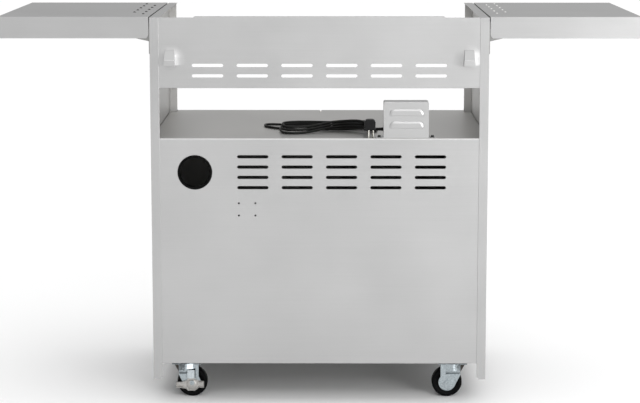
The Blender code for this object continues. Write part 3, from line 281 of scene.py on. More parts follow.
def bare_material(name, metallic, roughness, tone):
    """Material with its Principled shader and the object coordinates of its piece."""
    material = bpy.data.materials.new(name)
    material.use_nodes = True
    material.node_tree.nodes.clear()
    shader = add_node(material, "ShaderNodeBsdfPrincipled", values={
        "Metallic": metallic, "Roughness": roughness, "Base Color": colour(tone)})
    add_node(material, "ShaderNodeOutputMaterial", links={"Surface": shader.outputs["BSDF"]})
    material.diffuse_color = colour(tone)
    place = add_node(material, "ShaderNodeTexCoord")
    return material, shader, place.outputs["Object"]


def feed(material, shader, socket, source):
    """Link one result to a socket of the shader."""
    material.node_tree.links.new(source, shader.inputs[socket])


def noise(material, place, size, detail, roughness=0.5):
    """Noise whose patches are about the given size in metres."""
    pattern = add_node(material, "ShaderNodeTexNoise",
                       values={"Scale": 1 / size, "Detail": detail, "Roughness": roughness},
                       links={"Vector": place})
    return pattern.outputs["Fac"]


def feed_tones(material, shader, pattern, dark, light, low, high):
    """Base colour that goes from dark to light between two levels of a pattern."""
    tones = add_node(material, "ShaderNodeValToRGB", links={"Fac": pattern})
    first, last = tones.color_ramp.elements
    first.position, first.color = low, colour(dark)
    last.position, last.color = high, colour(light)
    feed(material, shader, "Base Color", tones.outputs["Color"])


def feed_mix(material, shader, pattern, dark, light):
    """Base colour mixed from two by a pattern."""
    tones = add_node(material, "ShaderNodeMix", {"data_type": "RGBA"},
                     {"A": colour(dark), "B": colour(light)}, {"Factor": pattern})
    feed(material, shader, "Base Color", tones.outputs["Result"])


def feed_gloss(material, shader, pattern, smooth, rough, low=0.0, high=1.0):
    """Roughness that goes from smooth to rough between two levels of a pattern."""
    sheen = add_node(material, "ShaderNodeMapRange",
                     values={"From Min": low, "From Max": high, "To Min": smooth,
                             "To Max": rough}, links={"Value": pattern})
    feed(material, shader, "Roughness", sheen.outputs["Result"])


def feed_relief(material, shader, pattern, strength, depth):
    """Fine relief of the surface from a pattern."""
    relief = add_node(material, "ShaderNodeBump",
                      values={"Strength": strength, "Distance": depth},
                      links={"Height": pattern})
    feed(material, shader, "Normal", relief.outputs["Normal"])


def brushed_stainless(name, grain, dark, light, rough):
    """Austenitic stainless sheet, No. 4 finish: an abrasive belt leaves fine parallel scratches.

    The eye gets a soft sheen that is streaky along the grain. Real scratches are about 0.1 mm
    apart; they are drawn 1.2 mm apart, so that they just show. The tone drifts over 180 mm.
    """
    material, shader, place = bare_material(name, 1.0, rough, light)
    across, along = 1 / 0.0012, 1 / 0.20
    stretch = [along if axis == grain else across for axis in "XYZ"]
    turned = add_node(material, "ShaderNodeMapping", values={"Scale": stretch},
                      links={"Vector": place})
    scratches = noise(material, turned.outputs["Vector"], 1.0, 3.0, 0.65)
    clouds = noise(material, place, 0.18, 2.0)
    share = add_node(material, "ShaderNodeMath", {"operation": "MULTIPLY"}, {1: 0.55},
                     {0: clouds})
    both = add_node(material, "ShaderNodeMath", {"operation": "MULTIPLY_ADD"}, {1: 0.45},
                    {0: scratches, 2: share.outputs["Value"]})
    feed_tones(material, shader, both.outputs["Value"], dark, light, 0.30, 0.70)
    feed_gloss(material, shader, both.outputs["Value"], rough - 0.05, rough + 0.06, 0.3, 0.7)
    feed_relief(material, shader, scratches, 0.12, 0.0001)
    return material


def zinc_plate(name, dark, light, rough):
    """Stamped steel with bright blue-passivated zinc: bluish grey with cloudy patches.

    The patches are 3 mm wide, as on plated stampings, over a fine 0.6 mm grain.
    """
    material, shader, place = bare_material(name, 1.0, rough, light)
    patches = noise(material, place, 0.003, 4.0, 0.6)
    feed_tones(material, shader, patches, dark, light, 0.35, 0.65)
    feed_gloss(material, shader, patches, rough - 0.06, rough + 0.10, 0.3, 0.7)
    feed_relief(material, shader, noise(material, place, 0.0006, 2.0), 0.15, 0.0001)
    return material


def bright_metal(name, tone, rough, grain_size, strength):
    """Polished or plated bar: bright, with a faint fine grain in its gloss."""
    material, shader, place = bare_material(name, 1.0, rough, tone)
    grain = noise(material, place, grain_size, 3.0, 0.6)
    feed_gloss(material, shader, grain, rough - 0.05, rough + 0.08)
    feed_relief(material, shader, grain, strength, 0.00005)
    return material


def moulded_black(name, dark, light, rough, ior, grain_size, depth, specular=0.15):
    """Black moulded polymer: a fine spark-eroded grain from its tool, slightly cloudy gloss.

    The clouds are 20 mm wide. A low specular level stands for dust and bloom on the surface.
    """
    material, shader, place = bare_material(name, 0.0, rough, dark)
    shader.inputs["IOR"].default_value = ior
    shader.inputs["Specular IOR Level"].default_value = specular
    clouds = noise(material, place, 0.02, 3.0)
    feed_mix(material, shader, clouds, dark, light)
    feed_gloss(material, shader, clouds, rough - 0.08, rough + 0.10)
    feed_relief(material, shader, noise(material, place, grain_size, 4.0, 0.7), 0.5, depth)
    return material


def laminated_core(name):
    """Stack of varnished iron laminations, 0.5 mm each, drawn 1 mm apart so that they show."""
    material, shader, place = bare_material(name, 0.6, 0.5, "#3a3836")
    layers = add_node(material, "ShaderNodeTexWave",
                      {"wave_type": "BANDS", "bands_direction": "X"},
                      {"Scale": 1 / 0.001 / 6.28, "Distortion": 0.3}, {"Vector": place})
    feed_mix(material, shader, layers.outputs["Fac"], "#26211c", "#57534e")
    feed_relief(material, shader, layers.outputs["Fac"], 0.4, 0.0002)
    return material


# Sheet metal: the grain's direction, darkest and lightest tone, roughness
PANEL_STEEL = brushed_stainless("brushed_stainless_panel", "X", "#ababab", "#b2b2b2", 0.36)
POST_STEEL = brushed_stainless("brushed_stainless_side", "Z", "#a8a8a8", "#afafaf", 0.36)
INNER_STEEL = brushed_stainless("mill_finish_stainless_inside", "Z", "#9c9b99", "#a6a5a3", 0.48)
# Paler steel for the front flanges' rear faces: painted light on the shaded inside of the cabinet
PAINTED_LIGHT_FRONT_STEEL = brushed_stainless("pale_stainless_front_painted_light", "Z", "#d6d5d3", "#dddcda", 0.55)
SHELF_STEEL = brushed_stainless("brushed_stainless_shelf", "X", "#a7a7a7", "#aeaeae", 0.34)
SHELF_TOP_STEEL = brushed_stainless("brushed_stainless_shelf_top", "X", "#9e9e9e", "#a5a5a5",
                                    0.60)
DECK_STEEL = brushed_stainless("brushed_stainless_deck", "X", "#abaaa8", "#b4b3b1", 0.40)
# Dull steel of hidden parts; on the shelf brackets its dark tone stands partly for their own grey
# and partly for painted shade in the gap beside each shelf
DULL_STEEL_AND_PAINTED_SHADE = brushed_stainless("mill_finish_stainless_hidden_and_painted_shade", "Y", "#7f7f7e", "#8a8a88", 0.50)
DOOR_STEEL = brushed_stainless("brushed_stainless_door", "X", "#b2b2b1", "#bababa", 0.30)

# Bars, rivets and zinc-plated stampings; the dark zinc is painted shade on the forks' inside
# faces, and the dark rivet steel is painted shade on rivets
HANDLE_STEEL = bright_metal("satin_stainless_bar", "#c6c6c4", 0.22, 0.0008, 0.2)
DARK_STEEL_PAINTED_SHADE = bright_metal("dark_steel_rivet_painted_shade", "#3e3e3d", 0.22, 0.0005, 0.2)
NICKEL = bright_metal("nickel_plated_brass", "#b9b7b1", 0.34, 0.0010, 0.1)
ZINC = zinc_plate("blue_zinc_plated_steel", "#939ca0", "#b2babe", 0.30)
PAINTED_SHADE_ZINC = zinc_plate("dark_zinc_plated_steel_painted_shade", "#45413d", "#58544f", 0.45)
TAB_ZINC = zinc_plate("bright_zinc_plated_steel", "#b4bcc0", "#ccd3d6", 0.34)
LEVER_ZINC = zinc_plate("yellowed_zinc_plated_steel", "#a09e9b", "#bcbab7", 0.42)

# Polymers: tones, roughness, IOR, grain and its depth in metres
TYRE = moulded_black("moulded_black_rubber", "#040405", "#080809", 0.55, 1.52, 0.0007, 0.00008,
                     specular=0.06)
JACKET = moulded_black("extruded_pvc_jacket", "#0b0b0a", "#121211", 0.45, 1.53, 0.0005, 0.00004)
PLASTIC = moulded_black("moulded_black_nylon", "#0a0a0b", "#111112", 0.50, 1.53, 0.0005, 0.00006)
GROMMET = moulded_black("moulded_black_grommet", "#030303", "#060606", 0.45, 1.53, 0.0005,
                        0.00004, specular=0.06)
CORE = laminated_core("varnished_iron_laminations")


def placed(name, data):
    """New object in the scene."""
    item = bpy.data.objects.new(name, data)
    bpy.context.scene.collection.objects.link(item)
    return item


def piece(name, shape, material, body, instead_of=(), crease=35.0):
    """Piece from a finished bmesh, riding on its body, in place of the CAD nodes it stands for."""
    bmesh.ops.recalc_face_normals(shape, faces=shape.faces)
    mesh = bpy.data.meshes.new(name)
    shape.to_mesh(mesh)
    shape.free()
    mesh.materials.append(material)
    mesh.shade_smooth()
    mesh.set_sharp_from_angle(angle=math.radians(crease))
    item = placed(name, mesh)
    flat = item.modifiers.new("flat_faces", "WEIGHTED_NORMAL")
    flat.weight = 80
    flat.keep_sharp = True
    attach(item, body)
    if instead_of:
        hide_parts(*instead_of)
    return item


def refinish(item, material, wanted):
    """Give another finish to the faces that pass a test."""
    item.data.materials.append(material)
    for face in item.data.polygons:
        if wanted(face):
            face.material_index = len(item.data.materials) - 1


def copy_of(node):
    """Merged copy of a CAD node's mesh with its flat faces whole."""
    shape = bmesh.new()
    shape.from_mesh(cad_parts[node].data)
    bmesh.ops.remove_doubles(shape, verts=shape.verts, dist=MERGE)
    bmesh.ops.dissolve_limit(shape, angle_limit=math.radians(0.5), verts=shape.verts,
                             edges=shape.edges)
    return shape


def moved(shape, offset):
    """The same shape, moved."""
    bmesh.ops.translate(shape, verts=shape.verts, vec=offset)
    return shape


def new_verts(result):
    """Vertices among the parts that an extrusion made."""
    return [part for part in result["geom"] if isinstance(part, bmesh.types.BMVert)]


def edge_middle(edge):
    """Point halfway along an edge."""
    return (edge.verts[0].co + edge.verts[1].co) / 2


def round_over(shape, edges, radius, steps=3):
    """Round the given edges."""
    bmesh.ops.bevel(shape, geom=list(edges), offset=radius, offset_type="OFFSET",
                    segments=steps, profile=0.5, affect="EDGES", material=-1,
                    clamp_overlap=True)


def box_edges(shape, low, high, kept=lambda middle: True):
    """Edges that lie on two faces of a box, such as the outer bends of a folded sheet."""
    found = []
    for edge in shape.edges:
        faces = 0
        for axis in range(3):
            for plane in (low[axis], high[axis]):
                if all(abs(vert.co[axis] - plane) < NEAR for vert in edge.verts):
                    faces += 1
        if faces >= 2 and kept(edge_middle(edge)):
            found.append(edge)
    return found


def folded_sheet(node, name, material, body, radius, kept=lambda middle: True):
    """Copy of a CAD sheet piece whose outer bends have their real radius."""
    shape = copy_of(node)
    low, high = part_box(node)
    round_over(shape, box_edges(shape, low, high, kept), radius)
    return piece(name, shape, material, body, [node])


def joined(shapes):
    """One bmesh from several."""
    whole = bmesh.new()
    for shape in shapes:
        part = bpy.data.meshes.new("part")
        shape.to_mesh(part)
        shape.free()
        whole.from_mesh(part)
        bpy.data.meshes.remove(part)
    return whole


def spun(points, axis, degrees, steps, closed=False):
    """Surface that a line of points sweeps out as it turns about an axis through the origin."""
    shape = bmesh.new()
    verts = [shape.verts.new(point) for point in points]
    followers = verts[1:] + verts[:1] if closed else verts[1:]
    edges = [shape.edges.new(pair) for pair in zip(verts, followers)]
    bmesh.ops.spin(shape, geom=verts + edges, cent=(0.0, 0.0, 0.0), axis=axis,
                   angle=math.radians(degrees), steps=steps, use_merge=degrees == 360.0)
    bmesh.ops.remove_doubles(shape, verts=shape.verts, dist=MERGE)
    return shape


def spun_ring(profile, centre, steps, axis=(0.0, 1.0, 0.0)):
    """Ring about a level axis, from a closed profile of (radius, distance along the axis)."""
    points = [along * Vector(axis) + Vector((0.0, 0.0, radius)) for radius, along in profile]
    return moved(spun(points, axis, 360.0, steps, closed=True), centre)


def rectangle(left, right, bottom, top):
    """Outline of an upright rectangle across X and Z."""
    return [(left, bottom), (right, bottom), (right, top), (left, top)]


def plate(outline, low, high):
    """Flat plate from an outline across X and Z, between two places along Y."""
    shape = bmesh.new()
    face = shape.faces.new([shape.verts.new((x, low, z)) for x, z in outline])
    grown = bmesh.ops.extrude_face_region(shape, geom=[face])
    bmesh.ops.translate(shape, verts=new_verts(grown), vec=(0.0, high - low, 0.0))
    return shape


def rimmed(shape, radius, steps=2):
    """The same plate with its two flat faces' rims rounded."""
    bmesh.ops.recalc_face_normals(shape, faces=shape.faces)
    rims = [edge for edge in shape.edges
            if abs(edge.verts[0].co.y - edge.verts[1].co.y) < MERGE]
    round_over(shape, rims, radius, steps)
    return shape


def block(low, high):
    """Block between two corners."""
    shape = bmesh.new()
    bmesh.ops.create_cube(shape, size=1.0)
    low, high = Vector(low), Vector(high)
    bmesh.ops.scale(shape, verts=shape.verts, vec=high - low)
    return moved(shape, (low + high) / 2)


def cut_out(shape, low, high):
    """What is left of a shape after a block is cut out of it."""
    items = []
    for part in (shape, block(low, high)):
        mesh = bpy.data.meshes.new("part")
        bmesh.ops.recalc_face_normals(part, faces=part.faces)
        part.to_mesh(mesh)
        part.free()
        items.append(placed("part", mesh))
    cut = items[0].modifiers.new("cut", "BOOLEAN")
    cut.operation = "DIFFERENCE"
    cut.solver = "EXACT"
    cut.use_self = True
    cut.object = items[1]
    left = bmesh.new()
    left.from_object(items[0], bpy.context.evaluated_depsgraph_get())
    for item in items:
        mesh = item.data
        bpy.data.objects.remove(item)
        bpy.data.meshes.remove(mesh)
    return left


def cord_curve(points):
    """Round cord along its route, as one curve."""
    line = bpy.data.curves.new("mains_cord", "CURVE")
    line.dimensions = "3D"
    line.bevel_depth = CORD_RADIUS
    line.bevel_resolution = 4
    line.use_fill_caps = True
    line.twist_mode = "MINIMUM"
    strand = line.splines.new("POLY")
    strand.points.add(len(points) - 1)
    for spot, point in zip(strand.points, points):
        spot.co = (*point, 1.0)
    strand.use_smooth = True
    line.materials.append(JACKET)
    return placed("mains_cord", line)


def plug_body(low, high):
    """Moulded body of the plug, with four grip ribs on each flank and soft rims."""
    half = (high.x - low.x) / 2
    middle = (low.x + high.x) / 2
    flank = [(half - 0.0012, low.z), (half, low.z + 0.0012), (half, low.z + 0.0040)]
    for rib in range(4):
        start = low.z + 0.0040 + 0.0036 * rib
        flank += [(half - 0.0014, start + 0.0008), (half - 0.0014, start + 0.0018),
                  (half, start + 0.0026), (half, start + 0.0036)]
    flank += [(half - 0.0012, high.z - 0.0040), (half - 0.0045, high.z - 0.0008),
              (half - 0.0080, high.z)]
    outline = [(middle + x, z) for x, z in flank]
    outline += [(middle - x, z) for x, z in reversed(flank)]
    return rimmed(plate(outline, low.y, high.y), 0.0012, 3)


def plug_boot(low, high):
    """Three-ribbed boot where the cord enters the plug."""
    profile = [(CORD_BORE, 0.0)]
    for rib in range(3):
        start = 0.0036 * rib
        radius = 0.0058 - 0.0006 * rib
        profile += [(radius, start), (radius, start + 0.0020), (radius - 0.0010, start + 0.0024),
                    (radius - 0.0010, start + 0.0034)]
    profile += [(0.0036, 0.0112), (CORD_BORE, 0.0112)]
    return spun_ring(profile, (PLUG_X, high.y - 0.0002, (low.z + high.z) / 2), 24)


def dress_cord():
    """Mains cord on its whole route, and its moulded plug."""
    points = cord_route()
    cord = cord_curve(points)
    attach(cord, "cabinet")
    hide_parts("cord_lead", "cord_hank", "cord_tail")
    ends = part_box("cord_plug")
    plug = piece("moulded_plug", joined([plug_body(*ends), plug_boot(*ends)]), PLASTIC,
                 "cabinet", ["cord_plug"])


def dress_side_panel(word, side):
    """Side panel: brushed outside, mill finish inside, and a flange beside its door made paler as
    painted light.
    """
    node = "side_panel_" + word
    low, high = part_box(node)
    shape = copy_of(node)
    outer_x = low.x if side < 0 else high.x
    off_corner, tall = 0.005, 0.1
    flange_rims = [edge for edge in shape.edges
                   if all(vert.co.y < low.y + NEAR and abs(vert.co.x - outer_x) > off_corner
                          for vert in edge.verts)
                   and abs(edge.verts[0].co.z - edge.verts[1].co.z) > tall]
    round_over(shape, flange_rims, THIN_SHEET, 2)
    bends = box_edges(shape, low, high, lambda middle: middle.z > FOOT_TOP)
    round_over(shape, bends, PANEL_BEND)
    panel = piece("folded_side_panel_" + word, shape, POST_STEEL, "cabinet", [node])
    refinish(panel, INNER_STEEL, lambda face: side * face.normal.x < -0.5
             or face.normal.y * face.center.y < -0.1)
    # Painted light: the front flanges' rear faces get the paler steel
    refinish(panel, PAINTED_LIGHT_FRONT_STEEL, lambda face: face.normal.y < -0.5 and face.center.y > 0.1)


def dress_lower_panel():
    """Lower rear panel whose top edge rolls over in a quarter round and runs on as a lip."""
    shape = copy_of("rear_lower_panel")
    low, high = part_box("rear_lower_panel")
    top = [vert for vert in shape.verts if vert.co.z > high.z - NEAR]
    bmesh.ops.translate(shape, verts=top, vec=(0.0, 0.0, -LIP_BEND))
    cap = [face for face in shape.faces if all(vert in top for vert in face.verts)]
    bend = bmesh.ops.spin(shape, geom=cap, cent=(0.0, low.y + LIP_BEND, high.z - LIP_BEND),
                          axis=(1.0, 0.0, 0.0), angle=math.radians(-90.0), steps=6,
                          use_duplicate=False)
    last = [part for part in bend["geom_last"] if isinstance(part, bmesh.types.BMFace)]
    bmesh.ops.translate(shape, verts=list({vert for face in last for vert in face.verts}),
                        vec=(0.0, LIP_DEPTH, 0.0002))
    piece("folded_lower_panel", shape, PANEL_STEEL, "cabinet",
          ["rear_lower_panel"])


def dress_cabinet():
    """Side panels, deck and rear panels."""
    dress_side_panel("left", -1)
    dress_side_panel("right", 1)
    folded_sheet("deck_panel", "folded_deck", DECK_STEEL, "cabinet", DECK_BEND,
                 lambda middle: middle.z > DECK_TOP - NEAR and abs(middle.x) > DECK_MIDDLE)
    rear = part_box("rear_upper_panel")[0].y
    folded_sheet("rear_upper_panel", "folded_upper_panel", PANEL_STEEL, "cabinet", PANEL_BEND,
                 lambda middle: middle.y < rear + OFF_FACE and abs(middle.x) < PANEL_MIDDLE)
    dress_lower_panel()


def rivet_head(x, depth, top):
    """Low domed rivet head, 7.6 mm wide."""
    profile = [(0.0, 0.0024), (0.0016, 0.0021), (0.0029, 0.0013), (0.0038, -0.0002)]
    head = spun([(radius, 0.0, height) for radius, height in profile], (0.0, 0.0, 1.0), 360.0, 14)
    return moved(head, at_depth(x, depth, top))


def dress_shelves():
    """Side shelves with rolled edges, duller tops and rivets, dark on the left as painted shade
    and bright on the right as painted highlight; the catch's screw in the deck.
    """
    piece("catch_screw", rivet_head(0.0, CATCH_SCREW_DEPTH, DECK_TOP), NICKEL, "cabinet",
          crease=60.0)
    # The left shelf's rivets get the dark steel as painted shade, the right shelf's the bright bar
    # steel as painted highlight
    for word, rivets in (("left", DARK_STEEL_PAINTED_SHADE), ("right", HANDLE_STEEL)):
        node = "shelf_" + word
        body = "side_shelf_" + word
        low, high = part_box(node)
        shelf = folded_sheet(node, "folded_shelf_" + word, SHELF_STEEL, body, SHELF_BEND,
                             lambda middle: middle.z > low.z + OFF_FACE)
        refinish(shelf, SHELF_TOP_STEEL, lambda face: face.normal.z > 0.9)
        heads = [rivet_head(x, depth, high.z) for x, depths in RIVET_ROWS[word]
                 for depth in depths]
        piece("shelf_rivets_" + word, joined(heads), rivets, body, crease=60.0)


def dress_doors():
    """Door skins with rolled edges, their flat liners, and handles with rounded ends."""
    for word in ("left", "right"):
        body = "door_" + word
        low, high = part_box(body + "_skin")
        folded_sheet(body + "_skin", "folded_" + body, DOOR_STEEL, body, DOOR_BEND,
                     lambda middle: middle.y > low.y + OFF_FACE)
        liner = moved(copy_of(body + "_liner"), (0.0, -TOUCH, 0.0))
        piece("flat_liner_" + word, liner, DULL_STEEL_AND_PAINTED_SHADE, body, [body + "_liner"])
        shape = copy_of(body + "_handle")
        low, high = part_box(body + "_handle")
        ends = [edge for edge in shape.edges
                if all(min(vert.co.z - low.z, high.z - vert.co.z) < NEAR for vert in edge.verts)]
        round_over(shape, ends, 0.0018)
        piece("satin_handle_" + word, shape, HANDLE_STEEL, body,
              [body + "_handle"])


def drawn_hood(reach, rise, drop):
    """Swelling that fades outward, half round at its top, straight and open at its foot."""
    parts = 16
    shares = [step / parts for step in range(parts + 1)]
    profile = [(reach * share, -rise * (1.0 - share) ** 2, 0.0) for share in shares]
    shape = spun(profile, (0.0, 1.0, 0.0), -180.0, 32)
    bmesh.ops.scale(shape, verts=shape.verts, vec=(1.0, 1.0, HOOD_SQUASH))
    foot = [edge for edge in shape.edges
            if edge.is_boundary and all(abs(vert.co.z) < MERGE for vert in edge.verts)]
    grown = bmesh.ops.extrude_edge_only(shape, edges=foot)
    bmesh.ops.translate(shape, verts=new_verts(grown), vec=(0.0, 0.0, -drop))
    bmesh.ops.recalc_face_normals(shape, faces=shape.faces)
    bmesh.ops.solidify(shape, geom=list(shape.faces), thickness=THIN_SHEET)
    return shape


def dress_hooks():
    """Hooks with soft edges that narrow upward, and the hoods drawn out of the panel."""
    panel_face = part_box("rear_upper_panel")[0].y
    for word in ("left", "right"):
        shape = copy_of("hook_" + word)
        low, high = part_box("hook_" + word)
        nearly_wide = 0.93 * (high.x - low.x)
        outer = []
        for edge in shape.edges:
            spot = edge_middle(edge)
            on_flank = min(spot.x - low.x, high.x - spot.x) < NEAR
            across = abs(edge.verts[0].co.x - edge.verts[1].co.x) > nearly_wide
            free = spot.z > low.z + OFF_FACE and spot.y < high.y - OFF_FACE
            if free and (on_flank or across):
                outer.append(edge)
        round_over(shape, outer, 0.0008, 2)
        middle = (low.x + high.x) / 2
        for vert in shape.verts:
            climb = (vert.co.z - low.z) / (high.z - low.z)
            share = HOOK_FOOT_SHARE + (HOOK_TOP_SHARE - HOOK_FOOT_SHARE) * climb
            vert.co.x = middle + (vert.co.x - middle) * share
        piece("pressed_hook_" + word, shape, PANEL_STEEL, "cabinet",
              ["hook_" + word])
        hood = drawn_hood(HOOD_REACH, HOOD_RISES[word], HOOD_DROP)
        moved(hood, (middle, panel_face - SINK, low.z + HOOD_ABOVE_HOOK))
        piece("drawn_panel_" + word, hood, PANEL_STEEL, "cabinet")


def louvre(left, right, low, high):
    """Pressed louvre: a rounded swelling in steps of (width, rise), cut off along its mouth."""
    shape = bmesh.new()
    bmesh.ops.create_grid(shape, x_segments=1, y_segments=1, size=0.5)
    bmesh.ops.scale(shape, verts=shape.verts, vec=(right - left, 2 * (high - low), 1.0))
    bmesh.ops.bevel(shape, geom=list(shape.verts), offset=LOUVRE_CORNER, offset_type="OFFSET",
                    segments=8, profile=0.5, affect="VERTICES", material=-1)
    bmesh.ops.rotate(shape, verts=shape.verts, cent=(0.0, 0.0, 0.0),
                     matrix=Matrix.Rotation(math.radians(90.0), 3, "X"))
    for width, rise in ((0.0006, 0.0010), (0.0014, 0.0006), (0.0016, 0.0001), (0.0014, 0.0006),
                        (0.0010, 0.0001)):
        shape.normal_update()
        bmesh.ops.inset_region(shape, faces=[max(shape.faces, key=lambda face: face.calc_area())],
                               thickness=width, depth=rise, use_even_offset=True,
                               use_boundary=True)
    everything = list(shape.verts) + list(shape.edges) + list(shape.faces)
    bmesh.ops.bisect_plane(shape, geom=everything, dist=MERGE, plane_co=(0.0, 0.0, 0.0),
                           plane_no=(0.0, 0.0, -1.0), clear_outer=True)
    mouth = [edge for edge in shape.edges
             if edge.is_boundary and all(abs(vert.co.z) < MERGE for vert in edge.verts)]
    hem = bmesh.ops.extrude_edge_only(shape, edges=mouth)
    bmesh.ops.translate(shape, verts=new_verts(hem), vec=(0.0, 0.0010, -0.0013))
    bmesh.ops.recalc_face_normals(shape, faces=shape.faces)
    bmesh.ops.solidify(shape, geom=list(shape.faces), thickness=THIN_SHEET)
    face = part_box("transformer_cover")[0].y
    return moved(shape, ((left + right) / 2, face + 0.0002, low))


def hex_screw(x, y, z, size, height):
    """Hex screw head with its washer, pointing up."""
    shape = bmesh.new()
    bmesh.ops.create_cone(shape, cap_ends=True, segments=6, radius1=size, radius2=size,
                          depth=height, matrix=Matrix.Translation((x, y, z + height / 2)))
    rim = [edge for edge in shape.edges if all(vert.co.z > z + height / 2 for vert in edge.verts)]
    round_over(shape, rim, size * 0.15, 2)
    washer = bmesh.new()
    bmesh.ops.create_cone(washer, cap_ends=True, segments=20, radius1=size * 1.45,
                          radius2=size * 1.35, depth=0.0008,
                          matrix=Matrix.Translation((x, y, z + 0.0004)))
    return joined([shape, washer])


def strain_relief():
    """Collar, four tapering ribs and the bore that the cord leaves the cover through."""
    profile = [(CORD_BORE, 0.004), (0.0044, 0.004), (0.0044, -0.0003), (0.0046, -0.0003),
               (0.0046, -0.0016), (0.0040, -0.0024)]
    for rib in range(4):
        start = -0.0038 - 0.0040 * rib
        radius = 0.0041 - 0.0001 * rib
        profile += [(radius, start), (radius, start - 0.0022),
                    (radius - 0.0006, start - 0.0026), (radius - 0.0006, start - 0.0036)]
    profile += [(0.0035, -RELIEF_LENGTH), (CORD_BORE, -RELIEF_LENGTH)]
    mouth = above_deck(COVER_LEFT, CORD_EXIT_DEPTH, CORD_EXIT_HEIGHT)
    return spun_ring(profile, mouth, 28, axis=(1.0, 0.0, 0.0))


def dress_transformer():
    """Cover with soft bends, pressed louvres, screws, and the cord's strain relief."""
    low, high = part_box("transformer_cover")
    folded = copy_of("transformer_cover")
    rim = [edge for edge in folded.edges
           if all(abs(vert.co.y - low.y) < NEAR and vert.co.z > low.z + 0.002
                  and min(abs(vert.co.x - COVER_LEFT), abs(vert.co.x - COVER_RIGHT),
                          abs(vert.co.z - high.z)) < COVER_RETURN for vert in edge.verts)]
    round_over(folded, rim, COVER_BEND)
    piece("folded_transformer_cover", folded, PANEL_STEEL, "cabinet",
          ["transformer_cover"])
    for name, bottom in LOUVRE_BOTTOMS.items():
        piece("cover_louvre_" + name,
              louvre(LOUVRE_LEFT, LOUVRE_RIGHT, bottom, bottom + LOUVRE_HEIGHT),
              PANEL_STEEL, "cabinet", crease=60.0)
    screw_y = (low.y + high.y) / 2 - 0.012
    screws = [hex_screw(x, screw_y, low.z + 0.001, SCREW_SIZE, SCREW_HEIGHT)
              for x in (COVER_LEFT - 0.0105, COVER_RIGHT + 0.0095)]
    # The screws get the same dark steel as painted shade, keeping their highlight low
    piece("cover_screws", joined(screws), DARK_STEEL_PAINTED_SHADE, "cabinet")
    piece("ribbed_strain_relief", strain_relief(), PLASTIC, "cabinet",
          ["strain_relief"])


def dress_grommet():
    """Snap-in ring of the hose hole, smooth round its lip."""
    low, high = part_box("hose_grommet")
    centre = ((low.x + high.x) / 2, 0.0, (low.z + high.z) / 2)
    lip = (high.x - low.x) / 2
    bore = lip - 0.00615
    neck = lip - 0.00315
    face = low.y
    profile = [(bore, face + 0.0006), (bore + 0.0006, face), (lip - 0.0012, face),
               (lip - 0.0004, face + 0.0004), (lip, face + 0.0018), (neck, face + 0.0018),
               (neck, high.y - 0.0010), (neck - 0.0006, high.y), (bore, high.y)]
    piece("snap_in_grommet", spun_ring(profile, centre, 96), GROMMET, "cabinet",
          ["hose_grommet"])


def leg_outline(x, inward, cut_front):
    """Fork leg in the plane of the wheel; the outer leg's front corner is cut upright."""
    centre = x + inward * TRAIL
    points = [(x + inward * LEG_REACH, FORK_TOP)]
    if cut_front:
        reach, height = OUTER_LEG_CUT
        points += [(x - inward * reach, FORK_TOP), (x - inward * reach, height)]
    else:
        points.append((x - inward * INNER_LEG_CORNER, FORK_TOP))
    for step in range(LEG_FOOT_STEPS + 1):
        angle = math.radians(LEG_FOOT_START - LEG_FOOT_SWEEP * step / LEG_FOOT_STEPS)
        points.append((centre - inward * LEG_FOOT_RADIUS * math.cos(angle),
                       WHEEL_RADIUS + LEG_FOOT_RADIUS * math.sin(angle)))
    return points


def pressed_boss(x, y, side):
    """Boss pressed out of the outer leg under the swivel: two flanks, rounded ridge and foot.

    The ridge is a list of places across with their share of the bulge; the swelling is a list
    of levels with the share of that bulge that they reach.
    """
    half, out, lean, top = 0.0174, 0.0056, 0.17, FORK_TOP - SINK
    root = y - side * 0.0015
    ridge = [(-half, 0.0), (-0.0030, 0.93), (-0.0015, 0.98), (0.0, 1.0), (0.0015, 0.98),
             (0.0030, 0.93), (half, 0.0)]
    swelling = [(0.0596, 0.02), (0.0614, 0.30), (0.0640, 0.68), (0.0668, 0.92), (0.0700, 1.0),
                (top, 1.0)]
    shape = bmesh.new()
    rows = []
    for level, reach in swelling:
        spots = [(x + u, y + side * ((out * v + lean * (top - level)) * reach - TOUCH), level)
                 for u, v in ridge]
        spots = [(x - half, root, level), *spots, (x + half, root, level)]
        verts = [shape.verts.new(spot) for spot in spots]
        rows.append([shape.edges.new(pair) for pair in zip(verts, verts[1:])])
    for lower, upper in zip(rows, rows[1:]):
        bmesh.ops.bridge_loops(shape, edges=lower + upper)
    rim = [edge for edge in shape.edges if edge.is_boundary]
    bmesh.ops.contextual_create(shape, geom=rim)
    bmesh.ops.recalc_face_normals(shape, faces=shape.faces)
    return shape


